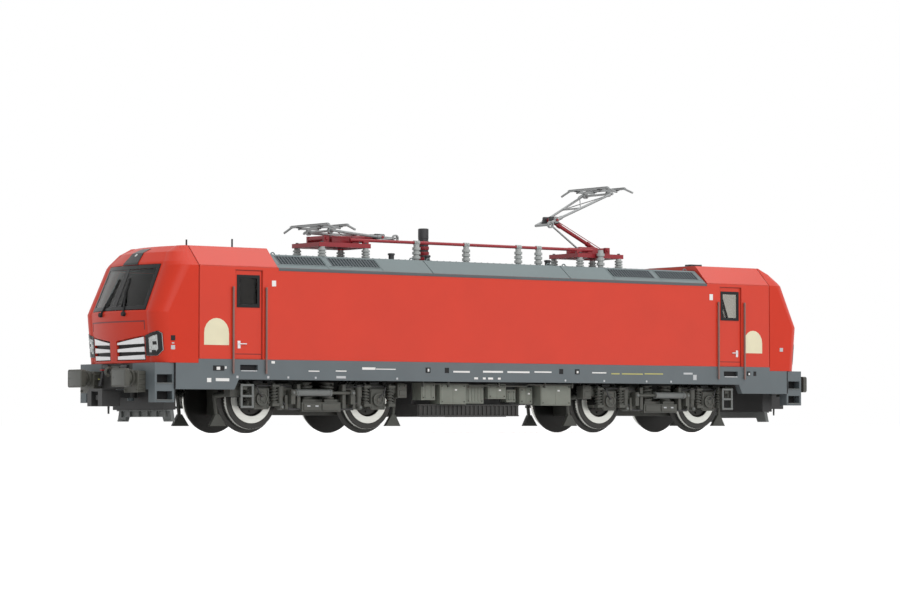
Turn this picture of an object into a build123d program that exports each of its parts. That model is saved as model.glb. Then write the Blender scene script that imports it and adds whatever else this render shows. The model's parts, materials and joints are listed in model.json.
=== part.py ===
from build123d import *
import math
import os

# A 1:87 scale model of a four-axle electric locomotive, on wheels for 16.5 mm gauge track.
# +X points to end B, +Y to the left side and +Z up. The origin is on the floor under the middle
# of the model, where the wheel flanges stand. Lengths are millimetres, angles degrees.
# Most pieces are drawn for end B or the left side, and mirrored for the other.

# Fits
FIT = 0.05
RUNNING = 0.06
PANEL_GAP = 0.2
CLEAR = 0.3

# Wheels
WHEEL_R = 7.2
FLANGE_DEPTH = 1.0
FLANGE_WIDTH = 0.7
BACK_TO_BACK = 14.4
WHEEL_WIDTH = 2.8
AXLE_R = 1.2
DISC_INNER_R = 0.57 * WHEEL_R
DISC_OUTER_R = 0.805 * WHEEL_R
DISC_THICK = 0.35
HUB_DISH = 0.7
HUB_R = 1.9
AXLE_Z = WHEEL_R + FLANGE_DEPTH
FLANGE_R = WHEEL_R + FLANGE_DEPTH
FLANGE_TOP = AXLE_Z + FLANGE_R
WHEEL_BACK = BACK_TO_BACK / 2
WHEEL_FACE = WHEEL_BACK + WHEEL_WIDTH
RAIL_MIDDLE = WHEEL_BACK + FLANGE_WIDTH + 0.4

# Body heights, counted up from the floor plate that clears the flanges
FLOOR_THICK = 1.2
FLOOR_BOTTOM = FLANGE_TOP + 0.6
FLOOR_TOP = FLOOR_BOTTOM + FLOOR_THICK
SILL_TOP = FLOOR_TOP - 0.6
NOSE_BOTTOM = SILL_TOP - 1.0
SILL_DEPTH = 4.8
SILL_BOTTOM = SILL_TOP - SILL_DEPTH
SKIRT_BOTTOM = SILL_BOTTOM - 2.4
WALL_HEIGHT = 22.1
ROOF_HEIGHT = 4.9
GUTTER = SILL_TOP + WALL_HEIGHT
CAB_ROOF_TOP = GUTTER + ROOF_HEIGHT
HATCH_TOP = GUTTER + 0.714 * ROOF_HEIGHT
SCREEN_BOTTOM = SILL_TOP + 0.493 * WALL_HEIGHT
SCREEN_TOP = GUTTER + 0.184 * ROOF_HEIGHT

# Body widths
HALF_WIDTH = 17.3
WALL = 1.2
SILL_THICK = 1.8
CAB_ROOF_HALF = 0.711 * HALF_WIDTH
HATCH_HALF = 0.717 * HALF_WIDTH
HATCH_EDGE = 0.3
HEADSTOCK_HALF = HALF_WIDTH - 0.3
STEP_INSIDE = 0.775 * HALF_WIDTH
END_BLOCK_HALF = 0.665 * HALF_WIDTH

# Places along the body, counted back from the buffer heads
HALF_LENGTH = 109.1
HEADSTOCK_LENGTH = 5.4
BUFFER_LENGTH = 5.7
HEADSTOCK_FACE = HALF_LENGTH - BUFFER_LENGTH
HEADSTOCK_START = HEADSTOCK_FACE - HEADSTOCK_LENGTH
FLOOR_END = HEADSTOCK_START - 0.4
SEAM_SETBACK = 6.5
NOSE_SEAM = HEADSTOCK_START - SEAM_SETBACK
CAB_LENGTH = 22.5
CAB_START = NOSE_SEAM - CAB_LENGTH
DOOR_OUTER = NOSE_SEAM - 0.458 * CAB_LENGTH
DOOR_INNER = CAB_START + 0.195 * CAB_LENGTH
SKIRT_START = DOOR_OUTER + 0.2
HATCH_SEAM = 0.319 * CAB_START

# Doors
DOOR_TOP = GUTTER - 0.8
DOOR_RECESS = 0.45
DOOR_FRAME = 1.0
DOOR_WINDOW_HIGH = DOOR_TOP - 1.5
DOOR_WINDOW_LOW = DOOR_WINDOW_HIGH - 0.32 * WALL_HEIGHT
GLASS = 0.6

# Bogies
BOGIE_PIVOT = HALF_LENGTH / 2
HALF_WHEELBASE = 17.25
BOGIE_OVERHANG = 6.15
BOGIE_HALF = HALF_WHEELBASE + BOGIE_OVERHANG
FRAME_THICK = 2.0
FRAME_INSIDE = WHEEL_FACE + 1.2
FRAME_OUTSIDE = FRAME_INSIDE + FRAME_THICK
FRAME_TOP = AXLE_Z + 3.6
FRAME_OVER_AXLE = AXLE_Z + 1.0
BELLY_BOTTOM = AXLE_Z - 2.6
BELLY_TOP = AXLE_Z
BELLY_HALF = 6.4
PIVOT_R = 2.0
TOWER_R = 4.0
GEAR_HALF_WIDTH = WHEEL_BACK - 1.4
GEAR_BOTTOM = AXLE_Z - 3.8
SAND_FOOT_REACH = HALF_WHEELBASE + FLANGE_R + 2.8
CORE_HALF_LENGTH = BOGIE_PIVOT - math.hypot(SAND_FOOT_REACH, RAIL_MIDDLE + 0.5) - 0.8

# Ends
STEP_BOTTOM = SKIRT_BOTTOM - 3.1
BUFFER_SPREAD = 10.06
BUFFER_Z = SKIRT_BOTTOM + 2.7
BUFFER_BOX_Z = SKIRT_BOTTOM + 1.8
BUFFER_STEM_R = 1.5
COUPLER_PIN_R = 0.8
COUPLER_THICK = 1.4
COUPLER_PIVOT = HEADSTOCK_START + 2 * COUPLER_PIN_R
COUPLER_Z = SKIRT_BOTTOM - COUPLER_THICK / 2 - 0.6
COUPLER_REACH = HALF_LENGTH + 0.4
GUARD_TOP = SKIRT_BOTTOM - 4.8

# Pantographs
PANTO_INSET = 9.05
PANTO_FOOT = 2.9
PANTO_PIVOT_RISE = 2.2
PANTO_PIVOT = BOGIE_PIVOT - PANTO_INSET
PANTO_BASE_Z = HATCH_TOP + PANTO_FOOT
PANTO_Z = PANTO_BASE_Z + PANTO_PIVOT_RISE
LOWER_ARM = 18.0
UPPER_ARM = 17.5
FOLDED_ANGLE = 3.0
RAISED_ANGLE = 25.0
ROD_PIVOT_IN = 0.474 * LOWER_ARM
ROD_PIVOT_DOWN = 0.046 * LOWER_ARM
TAIL_BACK = 0.184 * LOWER_ARM
ARM_R = 0.5
TUBE_R = 0.66 * ARM_R
PIN_R = 0.32
EYE_R = 0.75
EYE_WIDE = 0.8
TAIL_PIN_R = 0.22
TAIL_ROOM = 0.36
KNEE_HALF = 2.3
ARM_TOP_HALF = 6.0
ROD_Y = -KNEE_HALF - 1.3
HEAD_EYE_Y = ARM_TOP_HALF - 1.3
HEAD_RISE = 1.6
STRIP_SPREAD = 2.95
STRIP_HALF = 8.2
HORN_HALF = 11.2
HORN_DROP = 1.2

# Roof line
BUSBAR_Y = -5.0
BUSBAR_RISE = 4.9
BUSBAR_Z = HATCH_TOP + BUSBAR_RISE
BUSBAR_R = 0.4


# Helpers

def block(x0, x1, y0, y1, z0, z1):
    """A box between two corners."""
    return Pos((x0 + x1) / 2, (y0 + y1) / 2, (z0 + z1) / 2) * Box(x1 - x0, y1 - y0, z1 - z0)


def along_x(points, x0, x1):
    """An outline in Y and Z, carried from x0 to x1."""
    outline = Polyline([(x0, y, z) for y, z in points], close=True)
    return extrude(make_face(outline), amount=x1 - x0, dir=(1, 0, 0))


def along_y(points, y0, y1):
    """An outline in X and Z, carried from y0 to y1."""
    outline = Polyline([(x, y0, z) for x, z in points], close=True)
    return extrude(make_face(outline), amount=y1 - y0, dir=(0, 1, 0))


def bar(start, end, radius):
    """A round bar from one point to another."""
    start, end = Vector(*start), Vector(*end)
    plane = Plane(origin=start, z_dir=end - start)
    return Solid.make_cylinder(radius, (end - start).length, plane)


def turned(profile, centre):
    """A ring turned about an axle along Y; the profile is (place along Y, radius)."""
    x, z = centre
    face = make_face(Polyline([(x, y, z + r) for y, r in profile], close=True))
    return revolve(face, Axis((x, 0, z), (0, 1, 0)))


def fused(pieces):
    """One solid from pieces that run into each other."""
    first, *others = pieces
    return first.fuse(*others).clean()


def group(pieces):
    """Separate solids that share a node."""
    return Compound([solid for piece in pieces for solid in piece.solids()])


def other_side(shape):
    return mirror(shape, about=Plane.XZ)


def other_end(shape):
    return mirror(shape, about=Plane.YZ)


def both_sides(shape):
    return [shape, other_side(shape)]


def four_ways(shape):
    return [turn for side in both_sides(shape) for turn in (side, other_end(side))]


nodes = {}


# Nose: the moulded cab front of end B, a loft of plan sections that share one topology

NOSE_CORNER_BULGE = 0.2
ROOF_SLOPE = (HALF_WIDTH - CAB_ROOF_HALF) / ROOF_HEIGHT
SCREEN_TOP_HALF = HALF_WIDTH - (SCREEN_TOP - GUTTER) * ROOF_SLOPE
DOME_HEIGHT = GUTTER + 0.68 * ROOF_HEIGHT
DOME_HALF = HALF_WIDTH - (DOME_HEIGHT - GUTTER) * ROOF_SLOPE
# height, half width, then counted from the nose seam: end of the flank, corner, middle of the front;
# the corner's place across is a share of the half width
NOSE_LOW = (NOSE_BOTTOM, HALF_WIDTH, 7.1, 10.5, 12.7, 0.728)
NOSE_CHIN = (SCREEN_BOTTOM, HALF_WIDTH, 8.4, 11.5, 13.4, 0.728)
NOSE_BROW = (SCREEN_TOP, SCREEN_TOP_HALF, 1.9, 6.4, 8.1, 0.731)
NOSE_DOME = (DOME_HEIGHT, DOME_HALF, 1.4, 4.5, 6.1, 0.731)
NOSE_CROWN = (CAB_ROOF_TOP, CAB_ROOF_HALF, 0.4, 1.3, 2.7, 0.731)


def section_between(low, high, height, half):
    """A section on the straight line between two others, at its own half width."""
    share = (height - low[0]) / (high[0] - low[0])
    middle = [a + share * (b - a) for a, b in zip(low[2:5], high[2:5])]
    across = low[5] * low[1] + share * (high[5] * high[1] - low[5] * low[1])
    return (height, half, *middle, across / half)


NOSE_EAVES = section_between(NOSE_CHIN, NOSE_BROW, GUTTER, HALF_WIDTH)
NOSE_SECTIONS = [NOSE_LOW, NOSE_CHIN, NOSE_EAVES, NOSE_BROW, NOSE_DOME, NOSE_CROWN]


def nose_face(height, half, flank, along, front, across, back):
    def corner(side):
        start = Vector(flank, side * half, height)
        end = Vector(along, side * across, height)
        chord = end - start
        outward = Vector(abs(chord.Y), side * abs(chord.X), 0)
        return ThreePointArc(start, (start + end) * 0.5 + outward * NOSE_CORNER_BULGE, end)

    return make_face([
        Line((back, -half, height), (flank, -half, height)),
        corner(-1),
        ThreePointArc((along, -across, height), (front, 0, height), (along, across, height)),
        corner(1),
        Line((flank, half, height), (back, half, height)),
        Line((back, half, height), (back, -half, height)),
    ])


def nose_form(inset=0.0):
    """The nose's outer form, or the form that lies inset inside it and runs out below and behind."""
    faces = []
    for row in NOSE_SECTIONS:
        height, half, flank, along, front, across = row
        if inset and row is NOSE_LOW:
            height -= WALL
        if row is NOSE_CROWN:
            height -= inset
        back = NOSE_SEAM - (WALL if inset else 0)
        faces.append(nose_face(height, half - inset, NOSE_SEAM + flank - inset / 2, NOSE_SEAM + along - inset,
                               NOSE_SEAM + front - inset, across * half - inset / 2, back))
    return loft(faces, ruled=True)


NOSE_FRONT = (NOSE_SEAM + 2 * WALL, HALF_LENGTH)
SCREEN_HALF_LOW = 0.694 * HALF_WIDTH
SCREEN_HALF_HIGH = 0.665 * HALF_WIDTH
SCREEN_MARGIN = 0.55
LAMP_IN = 0.676 * HALF_WIDTH
LAMP_OUT = 0.954 * HALF_WIDTH
LAMP_RISE = 1.6
LAMP_TALL = 5.9
LAMP_LOW = NOSE_BOTTOM + LAMP_RISE
LAMP_HIGH = LAMP_LOW + LAMP_TALL
TOP_LAMP_HALF = 2.8
BAR_POCKET_RISE = 0.6
BAR_POCKET_TALL = 5.8
BAR_POCKET_LOW = NOSE_BOTTOM + BAR_POCKET_RISE
BAR_POCKET_HIGH = BAR_POCKET_LOW + BAR_POCKET_TALL
BAR_IN = 0.104 * HALF_WIDTH
BAR_OUT = 0.647 * HALF_WIDTH
BAR_DEPTH = 0.7
# above the nose's bottom: low and high edge at the middle of the front,
# then low and high edge beside the lamp
GRILLE_BARS = [(0.8, 1.6, 0.8, 1.9), (2.6, 3.3, 2.6, 3.8), (4.3, 4.8, 4.5, 6.1)]


def screen_outline(inset):
    low, high = SCREEN_BOTTOM + SCREEN_MARGIN + inset, SCREEN_TOP - SCREEN_MARGIN - inset
    wide, narrow = SCREEN_HALF_LOW - inset, SCREEN_HALF_HIGH - inset
    return [(-wide, low), (wide, low), (narrow, high), (-narrow, high)]


def lamp_outline(inset):
    inner, outer = LAMP_IN + inset, LAMP_OUT - inset
    low, high = LAMP_LOW + inset, LAMP_HIGH - inset
    return [(inner, low), (inner, high - 1.0), (outer - 0.7, high), (outer, high - 0.6), (outer, low + 1.3),
            (outer - 1.1, low)]


def top_lamp_outline(inset):
    wide, narrow = TOP_LAMP_HALF - inset, 0.6 * TOP_LAMP_HALF - inset
    low, high = SCREEN_TOP + 0.4 + inset, CAB_ROOF_TOP - 0.8 - inset
    return [(-wide, low), (wide, low), (narrow, high), (-narrow, high)]


def make_nose():
    outer = nose_form()
    shell = outer - nose_form(WALL)
    skin = outer - nose_form(BAR_DEPTH)
    pocket = [(BAR_IN - CLEAR, BAR_POCKET_LOW), (BAR_IN - CLEAR, BAR_POCKET_HIGH - 1.2),
              (BAR_OUT + CLEAR, BAR_POCKET_HIGH), (BAR_OUT + CLEAR, BAR_POCKET_LOW)]
    openings = [along_x(screen_outline(0), *NOSE_FRONT), along_x(top_lamp_outline(0), *NOSE_FRONT)]
    openings += both_sides(along_x(lamp_outline(0), *NOSE_FRONT))
    openings += both_sides(skin & along_x(pocket, *NOSE_FRONT))
    wall = shell
    for opening in openings:
        shell -= opening
    screen = (outer - nose_form(GLASS)) & along_x(screen_outline(FIT), *NOSE_FRONT)
    lamp = wall & along_x(lamp_outline(FIT), *NOSE_FRONT)
    top_lamp = wall & along_x(top_lamp_outline(FIT), *NOSE_FRONT)
    bars = []
    for low_in, high_in, low_out, high_out in GRILLE_BARS:
        outline = [(BAR_IN, NOSE_BOTTOM + low_in), (BAR_IN, NOSE_BOTTOM + high_in),
                   (BAR_OUT, NOSE_BOTTOM + high_out), (BAR_OUT, NOSE_BOTTOM + low_out)]
        bars.append(skin & along_x(outline, *NOSE_FRONT))
    return shell, screen, lamp, top_lamp, bars


nose, screen, lamp, top_lamp, bars = make_nose()
nodes["nose_b"] = nose
nodes["nose_a"] = other_end(nose)
nodes["windscreens"] = group([screen, other_end(screen)])
nodes["headlamps"] = group(four_ways(lamp) + [top_lamp, other_end(top_lamp)])
nodes["grille_bars"] = group([piece for one in bars for piece in four_ways(one)])


# Side walls, with recessed doors and their windows

def make_side_wall():
    wall_end = NOSE_SEAM - PANEL_GAP
    inside = HALF_WIDTH - WALL
    wall = block(-wall_end, wall_end, inside, HALF_WIDTH, SILL_TOP, GUTTER)
    recess = block(DOOR_INNER, DOOR_OUTER, HALF_WIDTH - DOOR_RECESS, HALF_WIDTH, SILL_TOP, DOOR_TOP)
    x0, x1 = DOOR_INNER + DOOR_FRAME, DOOR_OUTER - DOOR_FRAME
    z0, z1 = DOOR_WINDOW_LOW, DOOR_WINDOW_HIGH
    opening = block(x0, x1, inside, HALF_WIDTH, z0, z1)
    for cut in (recess, opening):
        wall = wall - cut - other_end(cut)
    glass = block(x0 + FIT, x1 - FIT, inside, inside + GLASS, z0 + FIT, z1 - FIT)
    return wall, glass


side_wall, door_glass = make_side_wall()
nodes["side_wall_left"] = side_wall
nodes["side_wall_right"] = other_side(side_wall)
nodes["door_windows"] = group(four_ways(door_glass))


# Roof: red cab roofs and three grey hatches, the outer two with louvres in their slopes

LOUVRE_PITCH = 0.9
LOUVRE_SLOT = 0.5
LOUVRE_DEPTH = 0.45
LOUVRE_LOW = 0.29
LOUVRE_HIGH = 0.88
LOUVRE_MARGIN = 1.2
LOUVRE_START = 0.545 * CAB_START


def roof_outline(half, top, edge, thick):
    """A bent roof panel's section, from eaves to eaves."""
    outer = [(-edge, GUTTER), (-half, top), (half, top), (edge, GUTTER)]
    inner = [(edge - 1.4 * thick, GUTTER), (half - 0.5 * thick, top - thick),
             (0.5 * thick - half, top - thick), (1.4 * thick - edge, GUTTER)]
    return outer + inner


def make_louvres():
    """The slots of one outer hatch's left slope, in two panels."""
    edge = HALF_WIDTH - HATCH_EDGE
    run, rise = edge - HATCH_HALF, HATCH_TOP - GUTTER
    slope = math.hypot(run, rise)
    inward = Vector(0, -rise / slope, -run / slope)

    def on_slope(share, depth):
        spot = Vector(0, edge - run * share, GUTTER + rise * share) + inward * depth
        return spot.Y, spot.Z

    outline = [on_slope(LOUVRE_LOW, -LOUVRE_DEPTH), on_slope(LOUVRE_HIGH, -LOUVRE_DEPTH),
               on_slope(LOUVRE_HIGH, LOUVRE_DEPTH), on_slope(LOUVRE_LOW, LOUVRE_DEPTH)]
    middle = (LOUVRE_START + CAB_START) / 2
    slots = []
    panels = [(LOUVRE_START, middle - LOUVRE_MARGIN / 2),
              (middle + LOUVRE_MARGIN / 2, CAB_START - LOUVRE_MARGIN)]
    for start, end in panels:
        for count in range(int((end - start) / LOUVRE_PITCH)):
            x = start + count * LOUVRE_PITCH
            slots.append(along_x(outline, x, x + LOUVRE_SLOT))
    return group(slots)


hatch_section = roof_outline(HATCH_HALF, HATCH_TOP, HALF_WIDTH - HATCH_EDGE, WALL)
outer_hatch = along_x(hatch_section, HATCH_SEAM + PANEL_GAP, CAB_START - PANEL_GAP)
for slots in both_sides(make_louvres()):
    outer_hatch -= slots
cab_section = roof_outline(CAB_ROOF_HALF, CAB_ROOF_TOP, HALF_WIDTH, WALL)
cab_roof = along_x(cab_section, CAB_START, NOSE_SEAM - PANEL_GAP)
nodes["roof_hatch_b"] = outer_hatch
nodes["roof_hatch_a"] = other_end(outer_hatch)
nodes["roof_hatch_middle"] = along_x(hatch_section, -HATCH_SEAM, HATCH_SEAM)
nodes["cab_roof_b"] = cab_roof
nodes["cab_roof_a"] = other_end(cab_roof)


# Sills: the grey lower sides, deeper below the cabs, with a foot slot under each door

FOOT_SLOT_MARGIN = 1.4
FOOT_SLOT_LOW = SILL_BOTTOM + 2.2
FOOT_SLOT_HIGH = SILL_BOTTOM + 3.5


def make_sill():
    half = [(0, SILL_BOTTOM), (SKIRT_START - 0.5 * (SILL_BOTTOM - SKIRT_BOTTOM), SILL_BOTTOM),
            (SKIRT_START, SKIRT_BOTTOM), (HEADSTOCK_START, SKIRT_BOTTOM), (HEADSTOCK_START, NOSE_BOTTOM),
            (NOSE_SEAM, NOSE_BOTTOM), (NOSE_SEAM, SILL_TOP), (0, SILL_TOP)]
    inside = HALF_WIDTH - SILL_THICK
    sill = along_y(half, inside, HALF_WIDTH)
    sill -= block(DOOR_INNER + FOOT_SLOT_MARGIN, DOOR_OUTER - FOOT_SLOT_MARGIN,
                  inside + SILL_THICK / 2, HALF_WIDTH, FOOT_SLOT_LOW, FOOT_SLOT_HIGH)
    return fused([sill, other_end(sill)])


sill = make_sill()
nodes["sill_left"] = sill
nodes["sill_right"] = other_side(sill)


# Headstocks: the end beams with corner steps, and the pin that carries the coupler

STEP_THICK = 2.8
STEP_HOLE_MARGIN = 0.6
STEP_HOLE_TALL = 2.0
STEP_HOLE_DEPTH = 2.2
BEAM_THICK = 2.4
COUPLER_BOSS = 4.0


def make_headstock():
    start, face, half = HEADSTOCK_START, HEADSTOCK_FACE, HEADSTOCK_HALF
    beam = block(face - BEAM_THICK, face, -half, half, SKIRT_BOTTOM, NOSE_BOTTOM)
    boss = block(start, face, -COUPLER_BOSS, COUPLER_BOSS, SKIRT_BOTTOM, NOSE_BOTTOM)
    pin = bar((COUPLER_PIVOT, 0, COUPLER_Z - COUPLER_THICK), (COUPLER_PIVOT, 0, SKIRT_BOTTOM + FIT),
              COUPLER_PIN_R)
    corner = block(start, face, STEP_INSIDE, half, SKIRT_BOTTOM, NOSE_BOTTOM)
    step = block(start, face, half - STEP_THICK, half, STEP_BOTTOM, NOSE_BOTTOM)
    whole = fused([beam, boss, pin] + both_sides(corner) + both_sides(step))
    for low in (STEP_BOTTOM + STEP_HOLE_MARGIN, SKIRT_BOTTOM + 2.4 * STEP_HOLE_MARGIN):
        hole = block(start + STEP_HOLE_MARGIN, face - STEP_HOLE_MARGIN, half - STEP_HOLE_DEPTH, half,
                     low, low + STEP_HOLE_TALL)
        for cut in both_sides(hole):
            whole -= cut
    return whole


headstock = make_headstock()
nodes["headstock_b"] = headstock
nodes["headstock_a"] = other_end(headstock)


# Buffers: crash box, stem and a flat rectangular head

CRASH_BOX = (0.39 * BUFFER_LENGTH, 5.8, 5.0)
BUFFER_HEAD = (0.21 * BUFFER_LENGTH, 6.4, 4.3)
BUFFER_CORNER = 0.6


def make_buffer():
    long, wide, tall = CRASH_BOX
    box_end = HEADSTOCK_FACE + long
    crash_box = block(HEADSTOCK_FACE, box_end, BUFFER_SPREAD - wide / 2, BUFFER_SPREAD + wide / 2,
                      BUFFER_BOX_Z - tall / 2, BUFFER_BOX_Z + tall / 2)
    thick, wide, tall = BUFFER_HEAD
    stem = bar((box_end - FIT, BUFFER_SPREAD, BUFFER_Z), (HALF_LENGTH - thick / 2, BUFFER_SPREAD, BUFFER_Z),
               BUFFER_STEM_R)
    outline = RectangleRounded(wide, tall, BUFFER_CORNER)
    head = extrude(Plane.YZ.offset(HALF_LENGTH) * Pos(BUFFER_SPREAD, BUFFER_Z) * outline, amount=-thick)
    return fused([crash_box, stem, head])


nodes["buffers"] = group(four_ways(make_buffer()))


# Couplers: a shaft that swings on the headstock's pin, a hooked head and a raised bail

COUPLER_HEAD_LONG = 4.9
COUPLER_HEAD_HALF = 3.4
COUPLER_SHAFT_HALF = 1.3
COUPLER_THROAT = 2.6
BAIL = 0.6


def make_coupler():
    low, high = COUPLER_Z - COUPLER_THICK / 2, COUPLER_Z + COUPLER_THICK / 2
    head_start, half = COUPLER_REACH - COUPLER_HEAD_LONG, COUPLER_HEAD_HALF
    head_low, head_high = COUPLER_Z - 2.7, COUPLER_Z + 0.9
    eye = bar((COUPLER_PIVOT, 0, low), (COUPLER_PIVOT, 0, high), 2 * COUPLER_PIN_R)
    shaft = block(COUPLER_PIVOT, head_start + 0.5, -COUPLER_SHAFT_HALF, COUPLER_SHAFT_HALF, low, high)
    head = block(head_start, COUPLER_REACH, -half, half, head_low, head_high)
    throat = block(COUPLER_REACH - COUPLER_THROAT, COUPLER_REACH, -0.45 * half, 0.45 * half,
                   head_low, head_high)
    hook = block(COUPLER_REACH - COUPLER_THROAT - 1, COUPLER_REACH - 0.7, -0.2 * half, 0.2 * half,
                 COUPLER_Z - 1.2, COUPLER_Z)
    bail_low, bail_high = head_high - 0.1, head_high + BAIL
    bail_y, bail_x = half - 0.3, COUPLER_REACH - 0.2
    arm = block(head_start + 1, bail_x, bail_y - BAIL, bail_y, bail_low, bail_high)
    front = block(bail_x - BAIL, bail_x, -bail_y, bail_y, bail_low, bail_high)
    whole = fused([eye, shaft, head - throat, hook, front] + both_sides(arm))
    return whole - bar((COUPLER_PIVOT, 0, low), (COUPLER_PIVOT, 0, high), COUPLER_PIN_R + RUNNING)


coupler = make_coupler()
nodes["coupler_b"] = coupler
nodes["coupler_a"] = other_end(coupler)


# Frame: floor plate with the bogie pivot holes and the core between the bogies, end blocks and drive block

CORE_HALF_WIDTH = 10.5
CORE_BOTTOM = AXLE_Z - 1.0
END_BLOCK_START = FLOOR_END - 3.4
DRIVE_HALF_LENGTH = 0.62 * BOGIE_PIVOT
DRIVE_HALF_WIDTH = 0.636 * HALF_WIDTH
DRIVE_TOP = GUTTER - 2.7


def make_chassis():
    inside = HALF_WIDTH - SILL_THICK - 0.2
    floor = block(-FLOOR_END, FLOOR_END, -inside, inside, FLOOR_BOTTOM, FLOOR_TOP)
    core = block(-CORE_HALF_LENGTH, CORE_HALF_LENGTH, -CORE_HALF_WIDTH, CORE_HALF_WIDTH,
                 CORE_BOTTOM, FLOOR_TOP)
    chassis = fused([floor, core])
    for side in (-1, 1):
        x = side * BOGIE_PIVOT
        chassis -= bar((x, 0, FLOOR_BOTTOM), (x, 0, FLOOR_TOP), PIVOT_R + RUNNING)
    return chassis


end_block = block(END_BLOCK_START, FLOOR_END, -END_BLOCK_HALF, END_BLOCK_HALF, GUARD_TOP, FLOOR_BOTTOM)
nodes["chassis"] = make_chassis()
nodes["end_blocks"] = group([end_block, other_end(end_block)])
nodes["drive_block"] = block(-DRIVE_HALF_LENGTH, DRIVE_HALF_LENGTH, -DRIVE_HALF_WIDTH, DRIVE_HALF_WIDTH,
                             FLOOR_TOP, DRIVE_TOP)


# Rail guards: a plate across each end under the end block, with a foot over each rail

GUARD_THICK = 1.0
GUARD_ARCH = GUARD_TOP - 1.7
GUARD_LOW = GUARD_ARCH - 1.1
GUARD_FOOT = 3.4


def make_rail_guard():
    half, foot = END_BLOCK_HALF + 0.7, GUARD_FOOT
    outline = [(-half + 0.7, GUARD_TOP), (half - 0.7, GUARD_TOP), (half, GUARD_LOW), (half - foot, GUARD_LOW),
               (half - foot - 0.6, GUARD_ARCH), (foot + 0.6 - half, GUARD_ARCH), (foot - half, GUARD_LOW),
               (-half, GUARD_LOW)]
    return along_x(outline, END_BLOCK_START + 0.6, END_BLOCK_START + 0.6 + GUARD_THICK)


rail_guard = make_rail_guard()
nodes["rail_guards"] = group([rail_guard, other_end(rail_guard)])


# Underfloor equipment: the transformer's tray, and boxes that stand out from the core on both sides

TRAY_HALF = 13.0
TRAY_DEEP = 3.0
TRAY_BOTTOM = CORE_BOTTOM - TRAY_DEEP
TRAY_END = 0.33 * CORE_HALF_LENGTH
nodes["transformer_tray"] = block(-CORE_HALF_LENGTH, TRAY_END, -TRAY_HALF, TRAY_HALF,
                                  TRAY_BOTTOM, CORE_BOTTOM)
# start and end as shares of the core's half length, bottom and top above its bottom, depth beyond its side
EQUIPMENT = [
    (-0.99, -0.81, 1.0, 5.4, 3.7),
    (-0.76, -0.42, 0.0, 5.2, 4.1),
    (-0.38, -0.15, 0.2, 5.0, 2.9),
    (-0.11, 0.13, 1.4, 5.2, 3.5),
    (0.17, 0.29, 0.6, 3.8, 2.5),
    (0.36, 0.53, 0.2, 4.4, 2.1),
    (0.58, 0.99, -0.2, 5.2, 4.1),
]


def make_equipment():
    boxes = [block(start * CORE_HALF_LENGTH, end * CORE_HALF_LENGTH, CORE_HALF_WIDTH, CORE_HALF_WIDTH + depth,
                   CORE_BOTTOM + low, CORE_BOTTOM + high) for start, end, low, high, depth in EQUIPMENT]
    return [piece for box in boxes for piece in both_sides(box)]


nodes["equipment_boxes"] = group(make_equipment())


# Cab interior: back wall, floor, driver's desk and seat

BACK_WALL_THICK = 1.0
DESK_LONG = 4.0
DESK_HALF = 0.55 * HALF_WIDTH
DESK_TALL = 0.415 * WALL_HEIGHT
SEAT_BEHIND_SEAM = 7.0
SEAT_X = NOSE_SEAM - SEAT_BEHIND_SEAM
SEAT_LONG = 4.5
SEAT_SIDE = (-5.5, -1.0)
SEAT_TALL = 5.0
SEAT_BACK_TALL = 12.5


def make_cab_interior():
    inside = HALF_WIDTH - WALL - CLEAR
    start = CAB_START + 1.0
    wall = block(start, start + BACK_WALL_THICK, -inside, inside, FLOOR_TOP, GUTTER - 0.6)
    floor = block(start, FLOOR_END, 1 - inside, inside - 1, FLOOR_TOP, FLOOR_TOP + 0.5)
    desk_start, desk_top = FLOOR_END - DESK_LONG, FLOOR_TOP + DESK_TALL
    desk = along_y([(desk_start, FLOOR_TOP), (FLOOR_END, FLOOR_TOP), (FLOOR_END + 2.6, desk_top - 0.4),
                    (desk_start + 1, desk_top), (desk_start, desk_top - 2)], -DESK_HALF, DESK_HALF)
    seat = block(SEAT_X, SEAT_X + SEAT_LONG, *SEAT_SIDE, FLOOR_TOP, FLOOR_TOP + SEAT_TALL)
    back = block(SEAT_X, SEAT_X + 1.3, *SEAT_SIDE, FLOOR_TOP, FLOOR_TOP + SEAT_BACK_TALL)
    return fused([wall, floor, desk, seat, back])


cab_interior = make_cab_interior()
nodes["cab_interior_b"] = cab_interior
nodes["cab_interior_a"] = other_end(cab_interior)


# Handrails beside the doors

RAIL_R = 0.24
RAIL_STAND_OFF = 0.45
RAIL_LOW = SILL_BOTTOM + 1.4
RAIL_HIGH = DOOR_TOP - 4.0
RAIL_OFFSET = 0.8


def make_handrail(x):
    y = HALF_WIDTH + RAIL_STAND_OFF
    rail = bar((x, y, RAIL_LOW), (x, y, RAIL_HIGH), RAIL_R)
    feet = [bar((x, HALF_WIDTH, z), (x, y, z), 0.7 * RAIL_R) for z in (RAIL_LOW + 0.6, RAIL_HIGH - 0.6)]
    return fused([rail] + feet)


rails = [make_handrail(x) for x in (DOOR_INNER - RAIL_OFFSET, DOOR_OUTER + RAIL_OFFSET)]
nodes["handrails"] = group([piece for rail in rails for piece in four_ways(rail)])


# Wheelsets: two wheels on an axle, with a bright brake ring let into each wheel's face

TREAD_EDGE = 0.2


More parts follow.
